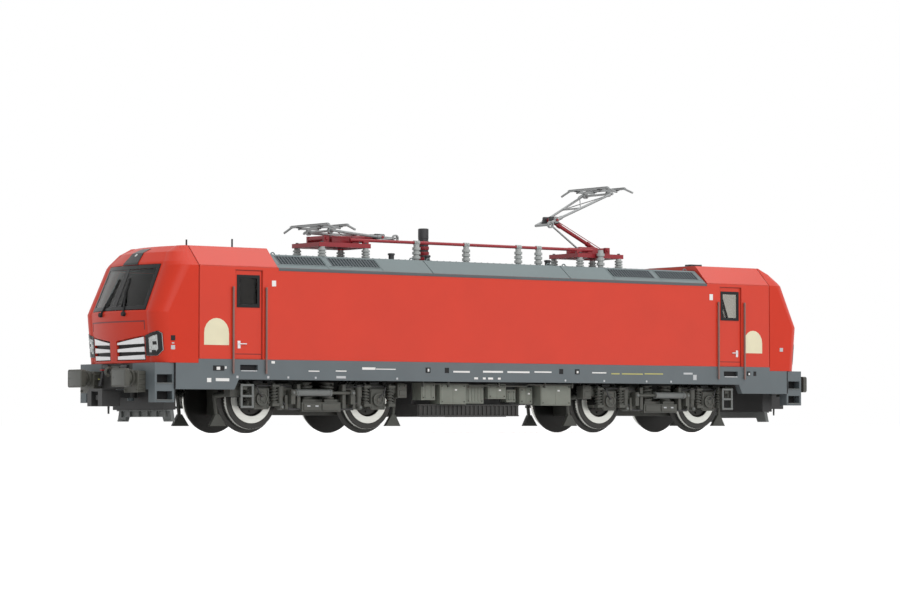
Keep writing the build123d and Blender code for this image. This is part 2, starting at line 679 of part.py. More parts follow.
def make_wheelset(x):
    seat = WHEEL_FACE - DISC_THICK
    dish = WHEEL_FACE - HUB_DISH
    wheel_profile = [
        (0, 0), (0, AXLE_R), (WHEEL_BACK, AXLE_R), (WHEEL_BACK, FLANGE_R - TREAD_EDGE),
        (WHEEL_BACK + 0.35 * FLANGE_WIDTH, FLANGE_R), (WHEEL_BACK + 0.65 * FLANGE_WIDTH, FLANGE_R),
        (WHEEL_BACK + FLANGE_WIDTH, WHEEL_R + 0.1 * FLANGE_DEPTH), (WHEEL_FACE - TREAD_EDGE, WHEEL_R),
        (WHEEL_FACE, WHEEL_R - TREAD_EDGE), (WHEEL_FACE, DISC_OUTER_R + FIT), (seat, DISC_OUTER_R + FIT),
        (seat, DISC_INNER_R - FIT), (dish, DISC_INNER_R - 2 * TREAD_EDGE), (dish, HUB_R),
        (WHEEL_FACE, HUB_R - TREAD_EDGE), (WHEEL_FACE, 0),
    ]
    ring_profile = [(seat, DISC_INNER_R), (seat, DISC_OUTER_R), (WHEEL_FACE, DISC_OUTER_R),
                    (WHEEL_FACE, DISC_INNER_R)]
    wheel = turned(wheel_profile, (x, AXLE_Z))
    ring = turned(ring_profile, (x, AXLE_Z))
    return fused(both_sides(wheel)), group(both_sides(ring))


# Bogies: drawn about their own pivot with the outer end to +X, then placed

AXLE_BOX_HALF = 2.3
AXLE_BOX_LOW = AXLE_Z - 2.2
AXLE_BOX_HIGH = AXLE_Z + 2.6
AXLE_BOX_FACE = FRAME_OUTSIDE + 1.0
AXLE_COVER_R = 1.6
AXLE_COVER_FACE = AXLE_BOX_FACE + 0.5
SPRING_COILS = 5
SEAT_THICK = 0.7
PRIMARY_R = 1.0
PRIMARY_OFFSET = AXLE_BOX_HALF + PRIMARY_R + 0.4
PRIMARY_LOW = AXLE_Z - 1.0
PRIMARY_HIGH = FRAME_TOP - 0.6
PRIMARY_Y = FRAME_OUTSIDE + PRIMARY_R
SECONDARY_R = 1.9
SECONDARY_X = BELLY_HALF / 2
SECONDARY_Y = FRAME_OUTSIDE - 0.9
SECONDARY_HIGH = SILL_BOTTOM - 0.5
DAMPER_R = 0.75
DAMPER_Y = SECONDARY_Y + SECONDARY_R + DAMPER_R + 0.15
DAMPER_Z = AXLE_Z + 1.6
DAMPER_X = BELLY_HALF + 2.0
SHOCK_X = HALF_WHEELBASE - PRIMARY_OFFSET - PRIMARY_R - 0.95
LADDER_X = (BOGIE_HALF - 2.8, BOGIE_HALF + 1.0)
LADDER_Y = (PRIMARY_Y + PRIMARY_R + 0.2, PRIMARY_Y + PRIMARY_R + 0.9)
LADDER_LOW = AXLE_Z - 2.2
LADDER_STILE = 0.6
SAND_PIPE_R = 0.45
# place along the bogie, place across, radius, bottom, top
SPRINGS = [
    (SECONDARY_X, SECONDARY_Y, SECONDARY_R, BELLY_TOP, SECONDARY_HIGH),
    (HALF_WHEELBASE - PRIMARY_OFFSET, PRIMARY_Y, PRIMARY_R, PRIMARY_LOW, PRIMARY_HIGH),
    (HALF_WHEELBASE + PRIMARY_OFFSET, PRIMARY_Y, PRIMARY_R, PRIMARY_LOW, PRIMARY_HIGH),
]


def coil_spring(x, y, radius, low, high):
    """A coil spring as a core with a ring for each coil."""
    pitch = (high - low) / SPRING_COILS
    core = bar((x, y, low), (x, y, high), radius * 0.72)
    coils = [bar((x, y, low + (i + 0.2) * pitch), (x, y, low + (i + 0.8) * pitch), radius)
             for i in range(SPRING_COILS)]
    return fused([core] + coils)


def make_side_frame():
    """The left side frame with its axle boxes, dampers and spring seats."""
    inside, outside = FRAME_INSIDE, FRAME_OUTSIDE
    half = [(0, BELLY_BOTTOM), (SHOCK_X - 1, BELLY_BOTTOM), (SHOCK_X + 1.8, FRAME_OVER_AXLE),
            (HALF_WHEELBASE + AXLE_BOX_HALF + 1, FRAME_OVER_AXLE), (BOGIE_HALF, FRAME_OVER_AXLE + 0.6),
            (BOGIE_HALF, FRAME_TOP), (BELLY_HALF + 1.4, FRAME_TOP), (BELLY_HALF, BELLY_TOP), (0, BELLY_TOP)]
    plate = along_y(half, inside, outside)
    axle_box = block(HALF_WHEELBASE - AXLE_BOX_HALF, HALF_WHEELBASE + AXLE_BOX_HALF, inside, AXLE_BOX_FACE,
                     AXLE_BOX_LOW, AXLE_BOX_HIGH)
    cover = bar((HALF_WHEELBASE, AXLE_BOX_FACE - FIT, AXLE_Z), (HALF_WHEELBASE, AXLE_COVER_FACE, AXLE_Z),
                AXLE_COVER_R)
    seats = [block(x - radius, x + radius, outside - 0.6, y + radius, low - SEAT_THICK, low)
             for x, y, radius, low, high in SPRINGS]
    caps = [block(x - radius, x + radius, outside - 0.6, y + radius, high, high + 0.7 * SEAT_THICK)
            for x, y, radius, low, high in SPRINGS[1:]]
    link_half = PRIMARY_OFFSET + 1.3 * PRIMARY_R
    link = block(HALF_WHEELBASE - link_half, HALF_WHEELBASE + link_half, inside + 0.2, outside + 0.4,
                 PRIMARY_LOW - SEAT_THICK, PRIMARY_LOW)
    lug = block(DAMPER_X - 0.2, DAMPER_X + 1.0, outside - 0.4, DAMPER_Y + 0.5,
                BELLY_TOP - 1.2, DAMPER_Z + DAMPER_R)
    shock = bar((SHOCK_X, outside + 0.7, BELLY_BOTTOM + 0.6), (SHOCK_X, outside + 0.7, FRAME_TOP), DAMPER_R)
    half_frame = fused([plate, axle_box, cover, lug, shock, link] + seats + caps)
    damper = [bar((-DAMPER_X, DAMPER_Y, DAMPER_Z), (DAMPER_X, DAMPER_Y, DAMPER_Z), 0.5 * DAMPER_R),
              bar((-0.25 * DAMPER_X, DAMPER_Y, DAMPER_Z), (DAMPER_X, DAMPER_Y, DAMPER_Z), DAMPER_R)]
    belly = block(-0.9 * BELLY_HALF, 0.9 * BELLY_HALF, outside - 0.2, outside + 1.5, BELLY_BOTTOM - 0.4,
                  BELLY_TOP - SEAT_THICK)
    return fused([half_frame, other_end(half_frame), belly] + damper)


def make_bogie_frame():
    side = make_side_frame()
    reach = SECONDARY_Y - SECONDARY_R - CLEAR
    half = 0.78 * BELLY_HALF
    gear_top = BELLY_TOP - 0.6
    bolster = block(-half, half, -reach, reach, gear_top, FRAME_TOP - 0.8)
    tie = block(-half, half, GEAR_HALF_WIDTH + CLEAR, FRAME_INSIDE + 0.2, BELLY_BOTTOM + 0.6, BELLY_TOP)
    tower = bar((0, 0, BELLY_TOP), (0, 0, FLOOR_BOTTOM - CLEAR), TOWER_R)
    pin = bar((0, 0, BELLY_TOP), (0, 0, FLOOR_TOP - CLEAR), PIVOT_R)
    return fused(both_sides(side) + both_sides(tie) + [bolster, tower, pin])


def make_gear_case():
    bearing_half = 2.2 * AXLE_R
    end = HALF_WHEELBASE + bearing_half
    wide, gear_top = GEAR_HALF_WIDTH, BELLY_TOP - 0.6
    case = block(-end, end, -wide, wide, GEAR_BOTTOM, gear_top)
    bearing = block(HALF_WHEELBASE - bearing_half, end, -wide, wide, GEAR_BOTTOM, AXLE_Z + bearing_half)
    case = fused([case, bearing, other_end(bearing)])
    for x in (-HALF_WHEELBASE, HALF_WHEELBASE):
        case -= bar((x, -wide, AXLE_Z), (x, wide, AXLE_Z), AXLE_R + RUNNING)
    return case


def make_ladder():
    """The step ladder under the left cab door."""
    (x0, x1), (y0, y1) = LADDER_X, LADDER_Y
    ladder = block(x0, x1, y0, y1, LADDER_LOW, FRAME_TOP)
    opening = (FRAME_TOP - LADDER_LOW - 3 * LADDER_STILE) / 2
    for low in (LADDER_LOW + LADDER_STILE, LADDER_LOW + 2 * LADDER_STILE + opening):
        ladder -= block(x0 + LADDER_STILE, x1 - LADDER_STILE, y0, y1, low, low + opening)
    arm = block(BOGIE_HALF - 1.3, BOGIE_HALF, FRAME_OUTSIDE - 0.2, y0 + 0.2, FRAME_TOP - 1.4, FRAME_TOP)
    return fused([ladder, arm])


def make_sand_pipe():
    """The left sand pipe of the outer wheel, from the frame's end to a pointed foot over the rail."""
    y = RAIL_MIDDLE
    top = (HALF_WHEELBASE + FLANGE_R + 1.3, y, AXLE_Z + 0.8)
    bend = (HALF_WHEELBASE + FLANGE_R + 0.7, y, 0.5 * AXLE_Z)
    holder = bar((BOGIE_HALF - 0.4, FRAME_INSIDE + 0.6, FRAME_TOP - 1.2), top, SAND_PIPE_R)
    pipe = bar(top, bend, SAND_PIPE_R)
    low = 0.21 * AXLE_Z
    outline = [(SAND_FOOT_REACH, low), (HALF_WHEELBASE + 0.78 * FLANGE_R, low),
               (bend[0] - 0.5, bend[2] + 0.5),
               (bend[0] + 0.5, bend[2] + 0.5)]
    foot = along_y(outline, y - 0.5, y + 0.5)
    return fused([pipe, holder, foot, Pos(*top) * Sphere(SAND_PIPE_R)])


sand_pipe = make_sand_pipe()
bogie_frame = fused([make_bogie_frame()] + both_sides(make_ladder()) + four_ways(sand_pipe))
gear_case = make_gear_case()
springs = group([piece for row in SPRINGS for piece in four_ways(coil_spring(*row))])
nodes["bogie_frame_b"] = Pos(BOGIE_PIVOT, 0, 0) * bogie_frame
nodes["bogie_frame_a"] = Pos(-BOGIE_PIVOT, 0, 0) * other_end(bogie_frame)
for end, x in (("a", -BOGIE_PIVOT), ("b", BOGIE_PIVOT)):
    nodes[f"gear_case_{end}"] = Pos(x, 0, 0) * gear_case
    nodes[f"bogie_springs_{end}"] = Pos(x, 0, 0) * springs
wheel_places = [side * BOGIE_PIVOT + half for side in (-1, 1) for half in (-HALF_WHEELBASE, HALF_WHEELBASE)]
for number, x in enumerate(wheel_places, start=1):
    wheels, rings = make_wheelset(x)
    nodes[f"wheelset_{number}"] = wheels
    nodes[f"brake_rings_{number}"] = rings


# Pantographs: drawn for end B, whose lower arm leans towards the middle of the model

BASE_LONG_IN = 12.0
BASE_LONG_OUT = 3.7
BASE_IN = PANTO_PIVOT - BASE_LONG_IN
BASE_OUT = PANTO_PIVOT + BASE_LONG_OUT
BASE_HALF = 6.0
BEAM = 1.1
LUG_IN = 3.2
LUG_OUT = 3.9
EYE_GAP = 0.15


def arm_points(angle):
    """Pivot, knee, head pivot, tail and rod pivot, for arms that both stand at an angle to the roof."""
    rise = math.radians(angle)
    lower = Vector(-math.cos(rise), 0, math.sin(rise))
    upper = Vector(math.cos(rise), 0, math.sin(rise))
    pivot = Vector(PANTO_PIVOT, 0, PANTO_Z)
    knee = pivot + lower * LOWER_ARM
    head = knee + upper * UPPER_ARM
    tail = knee - upper * TAIL_BACK
    rod_pivot = pivot - Vector(ROD_PIVOT_IN, 0, ROD_PIVOT_DOWN)
    return pivot, knee, head, tail, rod_pivot


def cross_bar(centre, y0, y1, radius):
    return bar((centre.X, y0, centre.Z), (centre.X, y1, centre.Z), radius)


def make_panto_base(pivot, rod_pivot):
    z0, z1 = PANTO_BASE_Z, PANTO_BASE_Z + BEAM
    beams = both_sides(block(BASE_IN, BASE_OUT, BASE_HALF - BEAM, BASE_HALF, z0, z1))
    beams += [block(x, x + BEAM, -BASE_HALF, BASE_HALF, z0, z1)
              for x in (BASE_IN, rod_pivot.X + EYE_R + 0.2, BASE_OUT - BEAM)]
    beams += [block(pivot.X - EYE_R, pivot.X + EYE_R, -BASE_HALF, BASE_HALF, z0, z1)]
    lugs = both_sides(block(pivot.X - EYE_R, pivot.X + EYE_R, LUG_IN, LUG_OUT, z0, pivot.Z + EYE_R))
    shaft = cross_bar(pivot, -LUG_OUT, LUG_OUT, PIN_R)
    rod_lug = block(rod_pivot.X - EYE_R, rod_pivot.X + EYE_R + 0.4, ROD_Y - 1.0, ROD_Y - 0.4,
                    z0, rod_pivot.Z + EYE_R)
    rod_pin = cross_bar(rod_pivot, ROD_Y - 1.0, ROD_Y + 0.4, PIN_R)
    return fused(beams + lugs + [shaft, rod_lug, rod_pin])


def make_lower_arm(pivot, knee):
    hub = cross_bar(pivot, EYE_GAP - LUG_IN, LUG_IN - EYE_GAP, EYE_R)
    tube = bar(tuple(pivot), tuple(knee), ARM_R)
    pin = cross_bar(knee, -KNEE_HALF - EYE_WIDE / 2, KNEE_HALF + EYE_WIDE / 2, PIN_R)
    collar_half = KNEE_HALF - EYE_WIDE / 2 - EYE_GAP
    collar = cross_bar(knee, -collar_half, collar_half, 0.9 * EYE_R)
    arm = fused([hub, tube, pin, collar])
    return arm - cross_bar(pivot, -LUG_IN, LUG_IN, PIN_R + RUNNING)


def make_upper_arm(knee, head, tail):
    y0, y1 = KNEE_HALF - EYE_WIDE / 2, KNEE_HALF + EYE_WIDE / 2
    eyes = both_sides(cross_bar(knee, y0, y1, EYE_R))
    top = cross_bar(head, -ARM_TOP_HALF - TUBE_R, ARM_TOP_HALF + TUBE_R, PIN_R)
    tubes = both_sides(bar((knee.X, KNEE_HALF, knee.Z), (head.X, ARM_TOP_HALF, head.Z), TUBE_R))
    share = 0.45
    brace_half = KNEE_HALF + share * (ARM_TOP_HALF - KNEE_HALF)
    brace = cross_bar(knee + (head - knee) * share, -brace_half, brace_half, 0.75 * TUBE_R)
    tails = both_sides(bar((knee.X, KNEE_HALF, knee.Z), (tail.X, KNEE_HALF, tail.Z), 1.2 * TUBE_R))
    tail_bar = cross_bar(tail, -KNEE_HALF - TUBE_R, KNEE_HALF + TUBE_R, TUBE_R)
    tail_pin = cross_bar(tail, ROD_Y - 0.4, -KNEE_HALF, TAIL_PIN_R)
    arm = fused(eyes + tubes + tails + [top, brace, tail_bar, tail_pin])
    for side in (1, -1):
        arm -= cross_bar(knee, side * y0, side * y1, PIN_R + RUNNING)
    return arm


def make_rod(rod_pivot, tail):
    y0, y1 = ROD_Y - 0.3, ROD_Y + 0.3
    ends = [cross_bar(rod_pivot, y0, y1, PIN_R + 0.3), cross_bar(tail, y0, y1, TAIL_PIN_R + 2 * TAIL_ROOM)]
    tube = bar((rod_pivot.X, ROD_Y, rod_pivot.Z), (tail.X, ROD_Y, tail.Z), 0.25)
    rod = fused(ends + [tube])
    rod -= cross_bar(rod_pivot, y0, y1, PIN_R + RUNNING)
    return rod - cross_bar(tail, y0, y1, TAIL_PIN_R + TAIL_ROOM)


def make_head(head):
    strip_z = head.Z + HEAD_RISE
    pieces = []
    for side in (1, -1):
        x = head.X + side * STRIP_SPREAD
        pieces.append(block(x - 0.4, x + 0.4, -STRIP_HALF, STRIP_HALF, strip_z - 0.5, strip_z))
        horn = bar((x, STRIP_HALF - 0.3, strip_z - 0.3), (x, HORN_HALF, strip_z - 0.3 - HORN_DROP), 0.28)
        pieces += both_sides(horn)
    y0, y1 = HEAD_EYE_Y - EYE_WIDE / 2, HEAD_EYE_Y + EYE_WIDE / 2
    carrier = block(head.X - STRIP_SPREAD, head.X + STRIP_SPREAD, y0, y1, strip_z - 1.0, strip_z - 0.4)
    post = block(head.X - 0.5, head.X + 0.5, y0, y1, head.Z, strip_z - 0.6)
    eye = cross_bar(head, y0, y1, EYE_R)
    whole = fused(pieces + both_sides(carrier) + both_sides(post) + both_sides(eye))
    for bore in both_sides(cross_bar(head, y0, y1, PIN_R + RUNNING)):
        whole -= bore
    return whole


def make_pantograph(angle):
    pivot, knee, head, tail, rod_pivot = arm_points(angle)
    return {
        "pantograph_base": make_panto_base(pivot, rod_pivot),
        "lower_arm": make_lower_arm(pivot, knee),
        "upper_arm": make_upper_arm(knee, head, tail),
        "control_rod": make_rod(rod_pivot, tail),
        "contact_head": make_head(head),
    }


for name, shape in make_pantograph(RAISED_ANGLE).items():
    nodes[f"{name}_b"] = shape
for name, shape in make_pantograph(FOLDED_ANGLE).items():
    nodes[f"{name}_a"] = other_end(shape)


# Roof insulators and the line between the two pantographs

INSULATOR_R = 0.75
RIB_R = 1.05
RIBS = 3
TALL_POST_Y = -BASE_HALF - RIB_R - 0.2
BUSBAR_SHORT = 6.3
BUSBAR_HALF = PANTO_PIVOT - BUSBAR_SHORT
# places of the line's posts, as shares of its half length
BUSBAR_POSTS = (-0.475, -0.07, 0.365, 0.535)


def insulator(x, y, low, high):
    """A post insulator with ribs."""
    pitch = (high - low) / (RIBS + 1)
    post = bar((x, y, low), (x, y, high), INSULATOR_R)
    rings = [bar((x, y, low + (i + 0.7) * pitch), (x, y, low + (i + 1.3) * pitch), RIB_R)
             for i in range(RIBS)]
    return fused([post] + rings)


def make_insulators():
    feet = [insulator(x, BASE_HALF - BEAM / 2, HATCH_TOP, PANTO_BASE_Z)
            for x in (BASE_IN + 1.2, BASE_OUT - 1.2)]
    tall = insulator(BUSBAR_HALF + RIB_R, TALL_POST_Y, HATCH_TOP, BUSBAR_Z)
    posts = [insulator(share * BUSBAR_HALF, BUSBAR_Y, HATCH_TOP, BUSBAR_Z - BUSBAR_R)
             for share in BUSBAR_POSTS]
    return [piece for foot in feet for piece in four_ways(foot)] + [tall] + posts


def make_busbar():
    line = bar((-BUSBAR_HALF, BUSBAR_Y, BUSBAR_Z), (BUSBAR_HALF, BUSBAR_Y, BUSBAR_Z), BUSBAR_R)
    drop = block(BASE_IN + 0.2, BASE_IN + 1.8, BUSBAR_Y - 0.4, BUSBAR_Y + 0.4, PANTO_BASE_Z + BEAM, BUSBAR_Z)
    return fused([line, drop, other_end(drop)])


nodes["roof_insulators"] = group(make_insulators())
nodes["busbar"] = make_busbar()


# Small roof fittings: circuit breaker, plugs, horns and aerials

PLUG_R = 0.7
PLUG_TALL = 1.8
BREAKER_R = 1.3
BREAKER_TALL = 8.9
HORN_BOX = (3.0, 2.4, 0.6)
HORN_ACROSS = -8.0
AERIAL_R = 0.22
# place along as a share of the hatches' half length, place across
ROOF_PLUGS = [(-0.394, -6.0), (-0.212, -4.2), (0.354, -4.5)]
# on the roof of end A's cab: place along as a share of the cab's length behind the nose seam, height
AERIALS = [(0.33, 2.2), (0.914, 2.8)]


def make_fittings():
    plugs = [bar((share * CAB_START, y, HATCH_TOP), (share * CAB_START, y, HATCH_TOP + PLUG_TALL), PLUG_R)
             for share, y in ROOF_PLUGS]
    breaker_x = -0.184 * CAB_START
    breaker = bar((breaker_x, 0, HATCH_TOP), (breaker_x, 0, HATCH_TOP + BREAKER_TALL), BREAKER_R)
    long, wide, tall = HORN_BOX
    horn_x = NOSE_SEAM - 0.876 * CAB_LENGTH
    horn = block(horn_x - long / 2, horn_x + long / 2, HORN_ACROSS - wide / 2, HORN_ACROSS + wide / 2,
                 CAB_ROOF_TOP, CAB_ROOF_TOP + tall)
    aerials = []
    for share, tall in AERIALS:
        x = share * CAB_LENGTH - NOSE_SEAM
        aerials.append(bar((x, 0, CAB_ROOF_TOP), (x, 0, CAB_ROOF_TOP + tall), AERIAL_R))
    return plugs + [breaker, horn, other_side(other_end(horn))] + aerials


nodes["roof_fittings"] = group(make_fittings())


# Writing the pieces

os.makedirs("parts", exist_ok=True)
for name, shape in nodes.items():
    export_step(shape, os.path.join("parts", f"{name}.step"))
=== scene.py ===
import json
import math

import bmesh
import bpy
from mathutils import Matrix, Vector


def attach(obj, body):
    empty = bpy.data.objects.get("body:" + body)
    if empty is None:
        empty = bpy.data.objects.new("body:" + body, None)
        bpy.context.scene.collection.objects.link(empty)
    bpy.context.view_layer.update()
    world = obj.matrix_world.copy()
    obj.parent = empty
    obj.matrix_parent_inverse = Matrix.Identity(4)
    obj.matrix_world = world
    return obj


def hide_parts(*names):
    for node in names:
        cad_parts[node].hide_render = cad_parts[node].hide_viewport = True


# The looks of a 1:87 model of a four-axle electric locomotive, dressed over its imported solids.
# Shapes are drawn in millimetres, in the part's own frame, and turned to metres when a piece is made.
# The camera looks at end A, which is at -X, and at the right side, which is at -Y.

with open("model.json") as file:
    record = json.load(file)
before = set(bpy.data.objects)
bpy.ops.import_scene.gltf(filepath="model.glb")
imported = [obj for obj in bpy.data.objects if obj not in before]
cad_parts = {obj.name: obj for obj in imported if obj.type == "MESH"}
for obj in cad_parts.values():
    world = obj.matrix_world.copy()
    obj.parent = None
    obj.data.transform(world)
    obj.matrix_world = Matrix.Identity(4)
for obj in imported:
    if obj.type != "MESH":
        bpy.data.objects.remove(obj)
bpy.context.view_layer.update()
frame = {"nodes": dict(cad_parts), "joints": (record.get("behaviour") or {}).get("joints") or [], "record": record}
nodes = frame["nodes"]
joints = {joint["name"]: joint for joint in frame["joints"]}
bpy.context.view_layer.update()

MM = 0.001
BODY = "locomotive_body"
ENDS = (("a", -1), ("b", 1))
ALONG, ACROSS, UP = (1, 0, 0), (0, 1, 0), (0, 0, 1)

# Camera, from the lines of the model in the picture
CAMERA_PLACE = (-485.8, -636.0, 2.1)
CAMERA_AIM = (1872.6, 2472.6, 124.4)
CAMERA_LENS = 124.2

# Places on the body
SIDE = 17.3
DOOR_FACE = 16.85
DOOR_WINDOW = (74.39, 80.19, 30.33, 37.4)
DOOR = (73.39, 81.2, 17.6, 38.9)
CAB_START = 69.0
GUTTER = 39.7
CAB_ROOF = 44.6
HATCH_TOP = 43.2
HATCH_EDGE = 17.0
HATCH_HALF = 12.4
HATCH_SEAM = 22.0
END_FACE = 103.4

# Outlines on the nose front, across and up
SCREEN = [(-11.9, 29.2), (11.9, 29.2), (11.4, 39.95), (-11.4, 39.95)]
PILLAR = [(-1.0, 29.3), (1.0, 29.3), (0.8, 39.8), (-0.8, 39.8)]
LAMP = [(11.8, 18.3), (11.8, 23.0), (15.75, 24.0), (16.4, 23.45), (16.4, 19.55), (15.35, 18.3)]
TOP_LAMP = [(-3.4, 40.1), (3.4, 40.1), (2.1, 44.1), (-2.1, 44.1)]
BAR_POCKET = [(1.6, 17.3), (11.4, 17.3), (11.4, 22.85), (1.6, 21.65)]

# Places on a bogie, counted from its pivot
BOGIE = 54.55
AXLE = 17.25
AXLE_Z = 8.2
FRAME_TOP = 11.8


# Mesh helpers

def add_box(mesh, low, high, edge=0.0):
    """A box between two corners, with its edges rounded if asked."""
    size = [b - a for a, b in zip(low, high)]
    centre = [(a + b) / 2 for a, b in zip(low, high)]
    place = Matrix.Translation(centre) @ Matrix.Diagonal((*size, 1.0))
    made = bmesh.ops.create_cube(mesh, size=1.0, matrix=place)
    if edge:
        edges = list({edge_of for vert in made["verts"] for edge_of in vert.link_edges})
        bmesh.ops.bevel(mesh, geom=edges, offset=edge, affect="EDGES", segments=2, profile=0.5, material=-1)


def add_rod(mesh, start, end, radius, sides=12, tip=None):
    """A round bar, or a cone if its tip has another radius."""
    start, end = Vector(start), Vector(end)
    line = end - start
    place = Matrix.Translation((start + end) / 2) @ line.to_track_quat("Z", "Y").to_matrix().to_4x4()
    bmesh.ops.create_cone(mesh, cap_ends=True, segments=sides, radius1=radius,
                          radius2=radius if tip is None else tip, depth=line.length, matrix=place)


def add_turned(mesh, profile, centre, axis, steps=24, closed=False):
    """A turned form: the profile is (place along the axis, radius), a ring if it is closed."""
    centre, axis = Vector(centre), Vector(axis).normalized()
    lie = axis.to_track_quat("Z", "Y").to_matrix()
    before = set(mesh.verts)
    verts = [mesh.verts.new(centre + lie @ Vector((radius, 0, along))) for along, radius in profile]
    pairs = list(zip(verts, verts[1:]))
    if closed:
        pairs.append((verts[-1], verts[0]))
    edges = [mesh.edges.new(pair) for pair in pairs]
    bmesh.ops.spin(mesh, geom=verts + edges, cent=centre, axis=axis, angle=2 * math.pi, steps=steps,
                   use_merge=True)
    fresh = [vert for vert in mesh.verts if vert not in before]
    bmesh.ops.remove_doubles(mesh, verts=fresh, dist=0.0005)


def add_swept(mesh, centre, axis, start, wire, angle, steps, rise=(0, 0, 0), sides=6):
    """A round wire swept about an axis from a start point, rising a little with each step."""
    centre, axis, start = Vector(centre), Vector(axis).normalized(), Vector(start)
    out = (start - centre) - axis * (start - centre).dot(axis)
    lie = axis.cross(out).to_track_quat("Z", "Y").to_matrix().to_4x4()
    ring = bmesh.ops.create_circle(mesh, cap_ends=False, segments=sides, radius=wire,
                                   matrix=Matrix.Translation(start) @ lie)["verts"]
    first = list({edge for vert in ring for edge in vert.link_edges})
    made = bmesh.ops.spin(mesh, geom=ring + first, cent=centre, axis=axis, dvec=rise, angle=angle,
                          steps=steps)["geom_last"]
    last = [item for item in made if isinstance(item, bmesh.types.BMEdge)]
    for loop in (first, last):
        bmesh.ops.edgeloop_fill(mesh, edges=loop)


def add_coil(mesh, low, high, radius, wire, turns):
    """A coil spring between two points."""
    low, high = Vector(low), Vector(high)
    line = high - low
    axis = line.normalized()
    steps = int(turns * 14)
    start = low + axis * wire + axis.orthogonal().normalized() * (radius - wire)
    rise = axis * ((line.length - 2 * wire) / steps)
    add_swept(mesh, low, axis, start, wire, 2 * math.pi * turns, steps, rise)


def add_pipe(mesh, points, radius, sides=8):
    """A rigid moulded pipe through a few points, with a ball at each bend."""
    for start, end in zip(points, points[1:]):
        add_rod(mesh, start, end, radius, sides)
    for point in points[1:-1]:
        bmesh.ops.create_icosphere(mesh, subdivisions=2, radius=radius, matrix=Matrix.Translation(point))


def add_bolt(mesh, centre, axis, radius, tall):
    """A six-sided bolt head."""
    centre, axis = Vector(centre), Vector(axis).normalized()
    add_rod(mesh, centre - axis * 0.05, centre + axis * tall, radius, sides=6, tip=0.85 * radius)


def thickened(mesh, faces, carry):
    """Carries faces along a direction, so that they become a closed plate."""
    made = bmesh.ops.extrude_face_region(mesh, geom=faces)["geom"]
    verts = [item for item in made if isinstance(item, bmesh.types.BMVert)]
    bmesh.ops.translate(mesh, vec=carry, verts=verts)


def add_slab(mesh, points, carry):
    """A flat outline carried along a direction."""
    face = mesh.faces.new([mesh.verts.new(point) for point in points])
    thickened(mesh, [face], carry)


def copied(mesh, scale):
    """Adds a copy of everything in the mesh, scaled about the origin."""
    geom = mesh.verts[:] + mesh.edges[:] + mesh.faces[:]
    made = bmesh.ops.duplicate(mesh, geom=geom)["geom"]
    verts = [item for item in made if isinstance(item, bmesh.types.BMVert)]
    bmesh.ops.scale(mesh, vec=scale, verts=verts)


def both_ends(mesh):
    copied(mesh, (-1, 1, 1))


def both_sides(mesh):
    copied(mesh, (1, -1, 1))


def all_corners(mesh):
    both_ends(mesh)
    both_sides(mesh)


def half_turn(mesh):
    """Adds what the other side has when the model is seen from there."""
    copied(mesh, (-1, -1, 1))


def joined(mesh, part):
    """Moves a separate mesh into this one."""
    data = bpy.data.meshes.new("part")
    part.to_mesh(data)
    part.free()
    mesh.from_mesh(data)
    bpy.data.meshes.remove(data)


def first_hit(names, start, way):
    """Where a line first meets one of the solids, in millimetres, with the face's direction there."""
    hits = []
    for name in names:
        found, spot, normal, _ = nodes[name].ray_cast(Vector(start) * MM, Vector(way))
        if found:
            hits.append((spot / MM, normal))
    return min(hits, key=lambda hit: (hit[0] - Vector(start)).length) if hits else None


def patch(mesh, points, border=0.0):
    """A flat patch from its outline, or only a border of it."""
    face = mesh.faces.new([mesh.verts.new(point) for point in points])
    face.normal_update()
    if border:
        bmesh.ops.inset_region(mesh, faces=[face], use_boundary=True, use_even_offset=True, thickness=border)
        bmesh.ops.delete(mesh, geom=[face], context="FACES")


def sliced(mesh, way, pitch):
    """Cuts a patch into narrow strips across a direction, so that it can follow a curve."""
    way = Vector(way)
    reach = [vert.co.dot(way) for vert in mesh.verts]
    count = int((max(reach) - min(reach)) / pitch)
    for step in range(1, count + 1):
        geom = mesh.verts[:] + mesh.edges[:] + mesh.faces[:]
        bmesh.ops.bisect_plane(mesh, geom=geom, plane_co=way * (min(reach) + step * pitch), plane_no=way)


def lay_on(mesh, names, way, lift, thick, slit=0.0):
    """Drops a flat patch on the solids along a direction, bridging narrow slits, and gives it thickness."""
    way = Vector(way)
    for vert in mesh.verts:
        hits = []
        for step in {-slit, 0.0, slit}:
            hit = first_hit(names, vert.co - way * 200 + Vector((0, step, 0)), way)
            if hit:
                hits.append(hit[0].dot(way))
        if hits:
            vert.co += way * (min(hits) - vert.co.dot(way) - lift)
    thickened(mesh, mesh.faces[:], -way * thick)


def nose_patch(mesh, outline, names, border=0.0, lift=0.02, thick=0.06, sides=(1,), pitch=2.0, slit=0.0):
    """A patch on the front of end B, drawn in Y and Z and wrapped on its curve."""
    for side in sides:
        part = bmesh.new()
        patch(part, [(0, side * y, z) for y, z in outline], border)
        sliced(part, ACROSS, 0.8)
        sliced(part, UP, pitch)
        lay_on(part, names, (-1, 0, 0), lift, thick, slit)
        joined(mesh, part)


def piece(name, mesh, finish, body=BODY, crease=35):
    """Makes the mesh a piece that rides on a body."""
    bmesh.ops.recalc_face_normals(mesh, faces=mesh.faces)
    bmesh.ops.scale(mesh, vec=(MM, MM, MM), verts=mesh.verts)
    data = bpy.data.meshes.new(name)
    mesh.to_mesh(data)
    mesh.free()
    data.polygons.foreach_set("use_smooth", [True] * len(data.polygons))
    data.set_sharp_from_angle(angle=math.radians(crease))
    data.materials.append(finish)
    made = bpy.data.objects.new(name, data)
    bpy.context.scene.collection.objects.link(made)
    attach(made, body)
    return made


# Finishes

def shaded(colour, share):
    return (*[min(1.0, part * share) for part in colour], 1.0)


